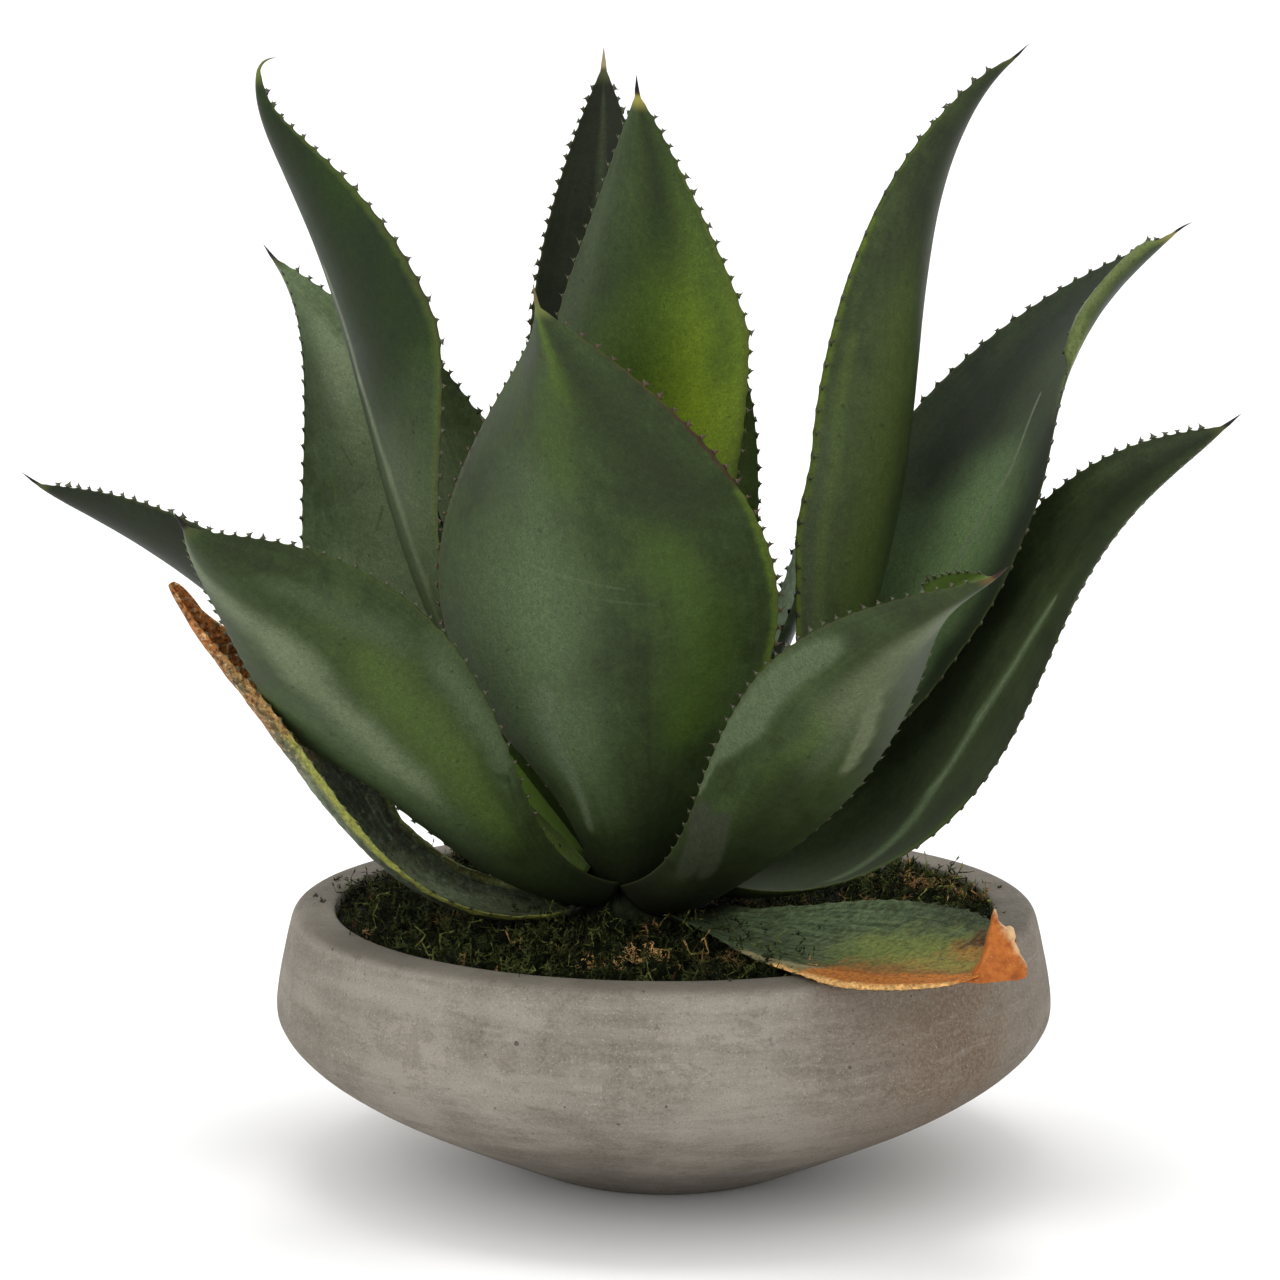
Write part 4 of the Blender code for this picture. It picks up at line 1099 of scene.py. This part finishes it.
def concrete_skin():
    """Cast concrete: cloudy greys, faint streaks, small pits, a darker foot and a painted shadow of the
    leaves on the front of the rim.
    """
    made, graph, shader, place = skin_start("cast_concrete")
    x, y, z = graph.parts(place)
    cloud = graph.noise(place, 11.0, 6.0, 0.6, 0.6)
    brushed = graph.noise(graph.vector("MULTIPLY", place, (60.0, 60.0, 9.0)), 1.0, 5.0, 0.65)
    layers = graph.noise(graph.vector("MULTIPLY", place, (7.0, 7.0, 95.0)), 1.0, 4.0, 0.6)
    fine = graph.noise(place, 420.0, 4.0, 0.65)
    tone = graph.plus(graph.times(cloud, 0.52), graph.times(brushed, 0.14))
    tone = graph.plus(tone, graph.times(layers, 0.34))
    colour = graph.mix(graph.span(tone, 0.36, 0.62), (0.132, 0.114, 0.091, 1), (0.262, 0.235, 0.198, 1))
    worn = graph.noise(graph.vector("MULTIPLY", graph.shift(place, (0.3, 2.2, 0.0)), (1.0, 1.0, 2.2)), 24.0,
                       9.0, 0.75)
    colour = graph.mix(graph.span(worn, 0.545, 0.562, 0.0, 0.42), colour, (0.125, 0.104, 0.080, 1))
    colour = graph.mix(graph.span(worn, 0.44, 0.42, 0.0, 0.3), colour, (0.31, 0.282, 0.24, 1))
    brown = graph.times(graph.span(x, 0.05, 0.19), graph.span(cloud, 0.2, 0.55))
    brown = graph.times(brown, graph.span(x, 0.175, 0.215, 1.0, 0.35))
    brown = graph.times(brown, graph.span(z, 0.150, 0.1595, 1.0, 0.1))
    colour = graph.mix(brown, colour, (0.128, 0.086, 0.053, 1))
    colour = graph.mix(graph.span(x, -0.12, -0.22, 0.0, 0.3), colour, (0.150, 0.132, 0.104, 1))
    colour = graph.mix(graph.span(fine, 0.35, 0.7, 0.0, 0.35), colour, (0.285, 0.258, 0.219, 1))
    speck = graph.noise(place, 900.0, 2.0, 0.6)
    colour = graph.mix(graph.span(speck, 0.60, 0.70, 0.0, 0.45), colour, (0.42, 0.39, 0.34, 1))
    colour = graph.mix(graph.span(speck, 0.40, 0.30, 0.0, 0.5), colour, (0.075, 0.065, 0.052, 1))
    scrape = graph.noise(graph.vector("MULTIPLY", place, (16.0, 16.0, 150.0)), 1.0, 8.0, 0.75, 0.5)
    colour = graph.mix(graph.span(scrape, 0.575, 0.60, 0.0, 0.2), colour, (0.32, 0.295, 0.255, 1))
    stain = graph.noise(graph.shift(place, (1.7, 0.0, 0.0)), 48.0, 9.0, 0.78)
    colour = graph.mix(graph.span(stain, 0.62, 0.65, 0.0, 0.5), colour, (0.09, 0.077, 0.061, 1))
    cells = graph.node("ShaderNodeTexVoronoi", {"Vector": place, "Scale": 85.0, "Randomness": 1.0})
    size = graph.noise(place, 60.0, 2.0)
    pit = graph.span(graph.plus(cells.outputs["Distance"], graph.times(size, 0.42)), 0.2, 0.26, 1.0, 0.0)
    colour = graph.mix(graph.times(pit, 0.75), colour, (0.05, 0.043, 0.036, 1))
    colour = graph.mix(graph.span(z, 0.075, 0.0, 0.0, 0.4), colour, (0.09, 0.078, 0.066, 1))
    # Painted shadow: the front of the rim top is darkened where the overhanging leaves shade it
    front_rim_shade = graph.times(graph.span(z, 0.1545, 0.1595), graph.span(y, 0.02, -0.12))
    colour = graph.mix(graph.times(front_rim_shade, 0.55), colour, (0.085, 0.074, 0.056, 1))
    graph.feed(shader.inputs["Base Color"], colour)
    graph.feed(shader.inputs["Roughness"], graph.span(tone, 0.3, 0.7, 0.72, 0.92))
    shader.inputs["Specular IOR Level"].default_value = 0.12
    height = graph.plus(graph.times(fine, 0.5), graph.times(scrape, 0.5))
    height = graph.less(graph.plus(height, graph.times(speck, 0.25)), graph.times(pit, 0.9))
    bump(graph, shader, height, 0.0015, 0.7)
    return made


def build_bowl(tree):
    outline = softened(BOWL_OUTSIDE + BOWL_INSIDE)
    rib, rows = profile_rib("bowl_profile", outline)
    piece = grown(rib, "bowl", tree, {"Rows": rows, "Turns": BOWL_TURNS, "Centre X": 0.0,
                                      "Unevenness": 0.0016, "Skin": concrete_skin()})
    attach(piece, BODY)
    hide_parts("pot")


def crown_shade_skin():
    made, graph, shader, place = skin_start("leaf_base_painted_shade")
    fibre = graph.noise(graph.vector("MULTIPLY", place, (260.0, 260.0, 40.0)), 1.0, 4.0, 0.6)
    # Painted shade: the crown core is coloured near black, standing in for the shade deep in the rosette
    colour = graph.mix(graph.span(fibre, 0.3, 0.7), (0.004, 0.005, 0.003, 1), (0.018, 0.022, 0.010, 1))
    graph.feed(shader.inputs["Base Color"], colour)
    dull(shader, 0.8, 0.04)
    bump(graph, shader, fibre, 0.0008, 0.5)
    return made


def build_crown(tree):
    rib, rows = profile_rib("crown_profile", softened(CROWN_PROFILE, 1))
    piece = grown(rib, "crown_core", tree, {"Rows": rows, "Turns": 64, "Centre X": CROWN_X * MM,
                                            "Unevenness": 0.004, "Skin": crown_shade_skin()})
    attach(piece, BODY)
    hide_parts("crown")


def soil_skin():
    made, graph, shader, place = skin_start("potting_soil")
    lumps = graph.noise(place, 150.0, 5.0, 0.7)
    colour = graph.mix(graph.span(lumps, 0.3, 0.7), (0.008, 0.006, 0.004, 1), (0.035, 0.024, 0.015, 1))
    graph.feed(shader.inputs["Base Color"], colour)
    dull(shader, 0.95, 0.05)
    bump(graph, shader, lumps, 0.003, 0.9)
    return made


def moss_skin(name, dark, light, tan):
    made, graph, shader, place = skin_start(name)
    tint = graph.node("ShaderNodeAttribute", attribute_name="tint").outputs["Fac"]
    patch = graph.noise(place, 34.0, 4.0, 0.65)
    colour = graph.mix(graph.span(graph.plus(tint, graph.times(patch, 2.2)), 1.2, 2.15), dark, light)
    straw = graph.noise(graph.shift(place, (3.1, 0.4, 0.0)), 19.0, 2.0)
    straw = graph.times(graph.span(straw, 0.56, 0.7), graph.math("GREATER_THAN", tint, 0.45))
    colour = graph.mix(straw, colour, tan)
    colour = graph.mix(graph.math("GREATER_THAN", tint, 0.965), colour, tan)
    colour = graph.mix(graph.span(graph.noise(place, 500.0), 0.4, 0.7, 0.0, 0.5), colour, dark)
    lift = graph.span(graph.parts(place)[0], 0.02, 0.15, 0.75, 1.7)
    colour = graph.lit(colour, lift)
    graph.feed(shader.inputs["Base Color"], colour)
    dull(shader, 0.85, 0.08)
    bump(graph, shader, graph.noise(place, 800.0), 0.001, 0.6)
    return made


def moss_level(x, y):
    spot = Vector((x, y, 0)) * 22
    return MOSS_TOP * MM + (noise.noise(spot) * 2.2 + noise.noise(spot * 4.3) * 1.6) * MM


def build_moss_bed(skin):
    """Uneven cushion between the crown and the wall of the bowl."""
    rings, turns = 26, 120
    points = []
    for number in range(rings):
        across = number / (rings - 1)
        radius = (MOSS_INNER_R + (MOSS_OUTER_R - MOSS_INNER_R) * across) * MM
        for step in range(turns):
            angle = 2 * math.pi * step / turns
            x = CROWN_X * MM * (1 - across) + radius * math.cos(angle)
            y = radius * math.sin(angle)
            points.append((x, y, moss_level(x, y)))
    for number in (rings - 1, 0):
        for step in range(turns):
            x, y, _ = points[number * turns + step]
            points.append((x, y, MOSS_FLOOR * MM))
    order = [number * turns for number in range(rings)] + [rings * turns, (rings + 1) * turns, 0]
    faces = []
    for first, second in zip(order, order[1:]):
        for step in range(turns):
            after = (step + 1) % turns
            faces.append((first + step, first + after, second + after, second + step))
    mesh = bpy.data.meshes.new("moss_bed")
    mesh.from_pydata(points, [], faces)
    mesh.materials.append(skin)
    piece = add_piece("moss_bed", mesh)
    mesh.polygons.foreach_set("use_smooth", [True] * len(mesh.polygons))
    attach(piece, BODY)
    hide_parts("moss")
    return piece


def tube_between(points, radii, sides):
    """Closed tube through the given points, its rings kept level with one another."""
    corners, faces = [], []
    for index, (point, radius) in enumerate(zip(points, radii)):
        ahead = (points[min(index + 1, len(points) - 1)] - points[max(index - 1, 0)]).normalized()
        side = ahead.cross(Vector((0.31, 0.93, 0.2))).normalized()
        other = ahead.cross(side)
        for turn in range(sides):
            angle = 2 * math.pi * turn / sides
            corners.append(point + (side * math.cos(angle) + other * math.sin(angle)) * radius)
    for index in range(len(points) - 1):
        for turn in range(sides):
            after = (turn + 1) % sides
            low, high = index * sides, (index + 1) * sides
            faces.append((low + turn, low + after, high + after, high + turn))
    faces.append(tuple(range(sides))[::-1])
    faces.append(tuple(range((len(points) - 1) * sides, len(points) * sides)))
    return corners, faces


def shoot_form(name, kind):
    """One moss shoot: a bent stalk with narrow leaflets all round."""
    draw = random.Random(kind["seed"])
    nodes = kind["nodes"]
    stalk = [Vector((kind["bend"] * (k / nodes) ** 2, kind["sway"] * math.sin(k * 1.3),
                     kind["height"] * k / nodes))
             for k in range(nodes + 1)]
    points, faces = tube_between(stalk, [0.26 - 0.13 * k / nodes for k in range(nodes + 1)], 3)
    for number in range(kind["leaflets"]):
        share = (number + 0.6) / kind["leaflets"] * nodes
        low = min(int(share), nodes - 1)
        base = stalk[low].lerp(stalk[low + 1], share - low)
        angle = number * 2.4 + draw.uniform(-0.3, 0.3)
        out = Vector((math.cos(angle), math.sin(angle), 0.55 + draw.uniform(-0.3, 0.5)))
        side = Vector((-math.sin(angle), math.cos(angle), 0)) * kind["leaf_wide"]
        start = len(points)
        points.extend([base - side, base + side, base + out * kind["leaf_long"],
                       base + out * kind["leaf_long"] * 0.35 + Vector((0, 0, 0.45))])
        faces.extend([(start, start + 2, start + 3), (start + 1, start + 3, start + 2),
                      (start, start + 3, start + 1), (start, start + 1, start + 2)])
    mesh = bpy.data.meshes.new(name)
    mesh.from_pydata([point * MM for point in points], [], faces)
    made = bpy.data.objects.new(name, mesh)
    show(made)
    return made


def moss_tree():
    graph, group = new_tree("moss_shoots", [("Density", "Float"), ("Shoot", "Object"), ("Smallest", "Float"),
                                            ("Largest", "Float"), ("Seed", "Int"), ("Skin", "Material")])
    upward = graph.parts(graph.node("GeometryNodeInputNormal").outputs[0])[2]
    spread = graph.node("GeometryNodeDistributePointsOnFaces", {
        "Mesh": group["Geometry"], "Selection": graph.math("GREATER_THAN", upward, 0.6),
        "Density": group["Density"],
        "Seed": group["Seed"]}, distribute_method="RANDOM").outputs[0]
    shoot = graph.node("GeometryNodeObjectInfo", {"Object": group["Shoot"]}).outputs["Geometry"]
    turn = graph.node("FunctionNodeRandomValue",
                      {"Min": (-1.15, -1.15, 0.0), "Max": (1.15, 1.15, 6.28), "Seed": 5},
                      data_type="FLOAT_VECTOR").outputs[0]
    size = graph.node("FunctionNodeRandomValue",
                      {"Min": group["Smallest"], "Max": group["Largest"], "Seed": 6}).outputs[1]
    placed = graph.node("GeometryNodeInstanceOnPoints", {
        "Points": spread, "Instance": shoot,
        "Rotation": graph.node("FunctionNodeEulerToRotation", {0: turn}).outputs[0],
        "Scale": size}).outputs[0]
    tint = graph.node("FunctionNodeRandomValue", {"Min": 0.0, "Max": 1.0, "Seed": 9}).outputs[1]
    placed = graph.node("GeometryNodeStoreNamedAttribute",
                        {"Geometry": placed, "Name": "tint", "Value": tint},
                        data_type="FLOAT", domain="INSTANCE").outputs[0]
    placed = graph.node("GeometryNodeRealizeInstances", {"Geometry": placed}).outputs[0]
    return end_tree(graph,
                    graph.node("GeometryNodeSetMaterial",
                               {"Geometry": placed, "Material": group["Skin"]}).outputs[0])


MOSS_KINDS = {
    "moss_cushion": {"seed": 11, "nodes": 4, "bend": 3.0, "sway": 0.5, "height": 6.4, "leaflets": 9,
                     "leaf_wide": 0.55,
                     "leaf_long": 2.9, "density": 19000.0, "smallest": 0.7, "largest": 1.3,
                     "dark": (0.004, 0.006, 0.002, 1), "light": (0.028, 0.034, 0.009, 1),
                     "tan": (0.10, 0.062, 0.026, 1)},
    "moss_curls": {"seed": 12, "nodes": 6, "bend": 6.0, "sway": 1.4, "height": 7.4, "leaflets": 13,
                   "leaf_wide": 0.5,
                   "leaf_long": 2.6, "density": 11000.0, "smallest": 0.8, "largest": 1.6,
                   "dark": (0.006, 0.009, 0.003, 1), "light": (0.085, 0.102, 0.028, 1),
                   "tan": (0.26, 0.15, 0.062, 1)},
    "moss_threads": {"seed": 13, "nodes": 8, "bend": 8.0, "sway": 2.0, "height": 8.0, "leaflets": 6,
                     "leaf_wide": 0.45,
                     "leaf_long": 2.2, "density": 6500.0, "smallest": 0.8, "largest": 1.7,
                     "dark": (0.010, 0.014, 0.004, 1), "light": (0.20, 0.23, 0.060, 1),
                     "tan": (0.55, 0.32, 0.115, 1)},
}


def build_moss():
    bed_skin = moss_skin("moss_ground", (0.003, 0.004, 0.001, 1), (0.012, 0.016, 0.004, 1),
                         (0.02, 0.014, 0.006, 1))
    bed = build_moss_bed(bed_skin)
    tree = moss_tree()
    for name, kind in MOSS_KINDS.items():
        ground = bpy.data.objects.new("ground_" + name, bed.data.copy())
        show(ground)
        form = shoot_form("form_" + name, kind)
        skin = moss_skin("skin_" + name, kind["dark"], kind["light"], kind["tan"])
        piece = grown(ground, name, tree,
                      {"Density": kind["density"], "Shoot": form, "Smallest": kind["smallest"],
                                           "Largest": kind["largest"], "Seed": kind["seed"], "Skin": skin})
        bpy.data.objects.remove(form)
        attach(piece, BODY)


def dried_tissue():
    made, graph, shader, place = skin_start("dried_tissue")
    cloud = graph.noise(place, 130.0, 5.0, 0.65)
    wrinkle = graph.noise(place, 420.0, 4.0, 0.6, 0.8)
    colour = graph.mix(graph.span(cloud, 0.36, 0.62), (0.29, 0.072, 0.010, 1), (0.42, 0.125, 0.020, 1))
    colour = graph.mix(graph.span(wrinkle, 0.57, 0.72, 0.0, 0.5), colour, (0.55, 0.30, 0.12, 1))
    x = graph.parts(place)[0]
    z = graph.parts(place)[2]
    edge = graph.plus(x, graph.times(z, 0.62))
    edge = graph.plus(edge, graph.times(graph.less(cloud, 0.5), 0.012))
    colour = graph.mix(graph.span(edge, 0.3065, 0.3125, 0.0, 0.85), colour, (0.62, 0.42, 0.22, 1))
    colour = graph.mix(graph.span(cloud, 0.40, 0.28, 0.0, 0.7), colour, (0.14, 0.045, 0.012, 1))
    graph.feed(shader.inputs["Base Color"], colour)
    dull(shader, 0.6, 0.2)
    bump(graph, shader, graph.plus(wrinkle, cloud), 0.0012, 0.7)
    return made


# Outline of the curled tip of the old leaf on the right, across and up
CURLED_TIP = [(158, 168.5), (169.8, 171.2), (176.3, 179.1), (176.6, 182.5), (177.9, 185.9), (178.5, 190),
              (180.3, 193.4),
              (181.2, 196.8), (181.4, 200.5), (182.4, 203.2), (183.3, 205.4), (184.4, 203.6), (184.8, 200.2),
              (185.8, 198.5),
              (188.1, 196.1), (189.4, 194.8), (191.4, 195.6), (194, 194.6), (194.6, 191.3), (193.4, 189.3),
              (194.2, 187.9),
              (195.9, 185.2), (196.8, 181.8), (198.6, 179.4), (200.4, 176.3), (200.7, 173.6), (199.6, 170.3),
              (196.4, 169),
              (188.4, 168.6), (175.1, 167.2)]
CURLED_TIP_Y = (-251, -240)


def build_curled_tip():
    """Crumpled dry end of the old leaf, turned up at the rim of the bowl."""
    count = len(CURLED_TIP)
    points = [Vector((x - 1.6, y, z + 3)) * MM for y in CURLED_TIP_Y for x, z in CURLED_TIP]
    faces = [tuple(range(count)), tuple(range(2 * count - 1, count - 1, -1))]
    faces += [(k, (k + 1) % count, count + (k + 1) % count, count + k) for k in range(count)]
    mesh = bpy.data.meshes.new("curled_block")
    mesh.from_pydata(points, [], faces)
    block = bpy.data.objects.new("curled_block", mesh)
    show(block)
    remesh = block.modifiers.new("even", "REMESH")
    remesh.mode = "VOXEL"
    remesh.voxel_size = 0.7 * MM
    smooth = block.modifiers.new("soften", "SMOOTH")
    smooth.factor = 0.6
    smooth.iterations = 5
    graph = bpy.context.evaluated_depsgraph_get()
    mesh = bpy.data.meshes.new_from_object(block.evaluated_get(graph), depsgraph=graph)
    bpy.data.objects.remove(block)
    for corner in mesh.vertices:
        spot = corner.co * 130
        push = noise.noise(spot) * 1.6 + noise.noise(spot * 3.1) * 0.7
        lean = (corner.co.z - 0.168) * 0.35
        corner.co.y += push * MM + lean
        corner.co.x += noise.noise(spot + Vector((9, 0, 0))) * 0.7 * MM
    mesh.name = "curled_tip"
    mesh.materials.append(dried_tissue())
    piece = add_piece("curled_tip", mesh)
    mesh.polygons.foreach_set("use_smooth", [True] * len(mesh.polygons))
    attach(piece, BODY)


# Bits of moss that lie on the rim: where they are and how large
CRUMBS = [(-199.6, 62.3, 3.0), (-204.8, 1.7, 2.4), (-210, 16, 2.0), (204, 40, 1.4), (36, -201, 1.3),
          (120, -166, 1.3)]
TWIG = [(172, 56, 160.6), (177, 62, 162), (181, 70, 163), (186, 68, 163.6), (191, 74, 163)]
TWIG_FORK = [(181, 70, 163), (183, 75, 165), (184, 78, 166)]
# Dry sprigs in the moss: where they stand, how tall, how many strands
SPRIGS = [(-41, -148, 9, 12), (-13, -134, 13, 16), (-7, -126, 9, 9), (-26, -150, 7, 8), (161, 66, 9, 8),
          (180, 36, 8, 7)]
CURLS = [(-181, 50, 13, 4), (-183, 38, 9, 3), (-170, 66, 8, 3)]


def build_crumbs():
    draw = random.Random(5)
    points, faces = [], []

    def take(corners, rings):
        start = len(points)
        points.extend(corner * MM for corner in corners)
        faces.extend(tuple(start + index for index in ring) for ring in rings)

    for x, y, size in CRUMBS:
        for _ in range(4):
            here = Vector((x + draw.uniform(-1, 1) * size * 0.6, y + draw.uniform(-1, 1) * size * 0.6, 160.3))
            strand = [here]
            for _ in range(4):
                here = here + Vector((draw.uniform(-1, 1), draw.uniform(-1, 1),
                                      draw.uniform(0.0, 0.8))) * size * 0.45
                strand.append(here)
            take(*tube_between(strand, [0.45, 0.5, 0.4, 0.35, 0.15], 5))
    take(*tube_between([Vector(point) for point in TWIG], [0.6, 0.55, 0.5, 0.4, 0.15], 6))
    take(*tube_between([Vector(point) for point in TWIG_FORK], [0.45, 0.35, 0.15], 6))
    mesh = bpy.data.meshes.new("rim_crumbs")
    mesh.from_pydata(points, [], faces)
    mesh.materials.append(flat_skin("dry_moss_bits", (0.055, 0.042, 0.020, 1), 0.9))
    piece = add_piece("rim_crumbs", mesh)
    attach(piece, BODY)


def build_sprigs(name, places, skin, seed):
    """Branched sprigs that stand out of the moss."""
    draw = random.Random(seed)
    points, faces = [], []

    def strand(here, way, length, radius):
        line = [here]
        for _ in range(5):
            way = (way + Vector((draw.uniform(-1, 1), draw.uniform(-1, 1),
                                 draw.uniform(-0.7, 0.6))) * 0.55).normalized()
            line.append(line[-1] + way * length / 5)
        start = len(points)
        corners, rings = tube_between(line,
                                      [radius, radius, radius * 0.8, radius * 0.7, radius * 0.5,
                                       radius * 0.2], 5)
        points.extend(corner * MM for corner in corners)
        faces.extend(tuple(start + index for index in ring) for ring in rings)
        return line

    for x, y, tall, count in places:
        for _ in range(count):
            foot = Vector((x + draw.uniform(-1, 1) * tall * 0.35, y + draw.uniform(-1, 1) * tall * 0.35,
                           MOSS_TOP - 0.5))
            way = Vector((draw.uniform(-1, 1), draw.uniform(-1, 1), draw.uniform(0.5, 1.4))).normalized()
            line = strand(foot, way, tall * draw.uniform(0.7, 1.2), 0.5)
            for start in line[1:]:
                side = Vector((draw.uniform(-1, 1), draw.uniform(-1, 1),
                               draw.uniform(-0.2, 0.9))).normalized()
                strand(start, side, tall * draw.uniform(0.15, 0.35), 0.34)
    mesh = bpy.data.meshes.new(name)
    mesh.from_pydata(points, [], faces)
    mesh.materials.append(skin)
    piece = add_piece(name, mesh)
    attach(piece, BODY)


def flat_skin(name, colour, roughness):
    made, graph, shader, place = skin_start(name)
    stain = graph.noise(place, 300.0, 3.0)
    darker = tuple(part * 0.5 for part in colour[:3]) + (1,)
    graph.feed(shader.inputs["Base Color"], graph.mix(graph.span(stain, 0.3, 0.7), darker, colour))
    shader.inputs["Roughness"].default_value = roughness
    return made


def build_floor():
    mesh = bpy.data.meshes.new("floor")
    size = 40
    mesh.from_pydata([(-size, -size, 0), (size, -size, 0), (size, size, 0), (-size, size, 0)], [],
                     [(0, 1, 2, 3)])
    floor = bpy.data.objects.new("floor", mesh)
    show(floor)
    made = bpy.data.materials.new("pale_floor")
    made.use_nodes = True
    shader = made.node_tree.nodes["Principled BSDF"]
    shader.inputs["Base Color"].default_value = (0.93, 0.93, 0.93, 1)
    dull(shader, 0.9, 0.1)
    mesh.materials.append(made)


def add_area(name, place, size, power, target=(0, 0, 0.3)):
    lamp = bpy.data.lights.new(name, "AREA")
    lamp.shape = "SQUARE"
    lamp.size = size
    lamp.energy = power
    made = bpy.data.objects.new(name, lamp)
    made.location = place
    made.rotation_euler = (Vector(target) - Vector(place)).to_track_quat("-Z", "Y").to_euler()
    show(made)


def build_light():
    world = bpy.data.worlds.new("studio")
    world.use_nodes = True
    back = world.node_tree.nodes["Background"]
    back.inputs["Color"].default_value = (1, 1, 1, 1)
    back.inputs["Strength"].default_value = 1.16
    bpy.context.scene.world = world
    bpy.context.scene.view_settings.view_transform = "Standard"
    lamp = bpy.data.lights.new("overhead", "SUN")
    lamp.energy = 0.7
    lamp.angle = math.radians(24)
    made = bpy.data.objects.new("overhead", lamp)
    made.rotation_euler = (Vector((0.06, -0.03, -1))).to_track_quat("-Z", "Y").to_euler()
    show(made)
    add_area("front", (-1.4, -2.3, 1.4), 1.4, 13)


def build_camera():
    data = bpy.data.cameras.new("camera")
    data.lens = 142.05
    data.sensor_width = 36
    camera = bpy.data.objects.new("camera", data)
    camera.location = (-0.0143, -2.9571, 0.8250)
    camera.rotation_euler = (math.radians(80.3), 0, 0)
    show(camera)
    bpy.context.scene.camera = camera


build_leaves()
turned_body = turning_tree()
build_bowl(turned_body)
build_crown(turned_body)
build_moss()
build_curled_tip()
build_crumbs()
build_sprigs("dry_sprigs", SPRIGS, flat_skin("dry_sprig", (0.80, 0.47, 0.17, 1), 0.85), 17)
build_sprigs("tall_curls", CURLS, flat_skin("green_curl", (0.06, 0.075, 0.02, 1), 0.85), 23)
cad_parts["soil"].data.materials.clear()
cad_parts["soil"].data.materials.append(soil_skin())
build_floor()
build_light()
build_camera()
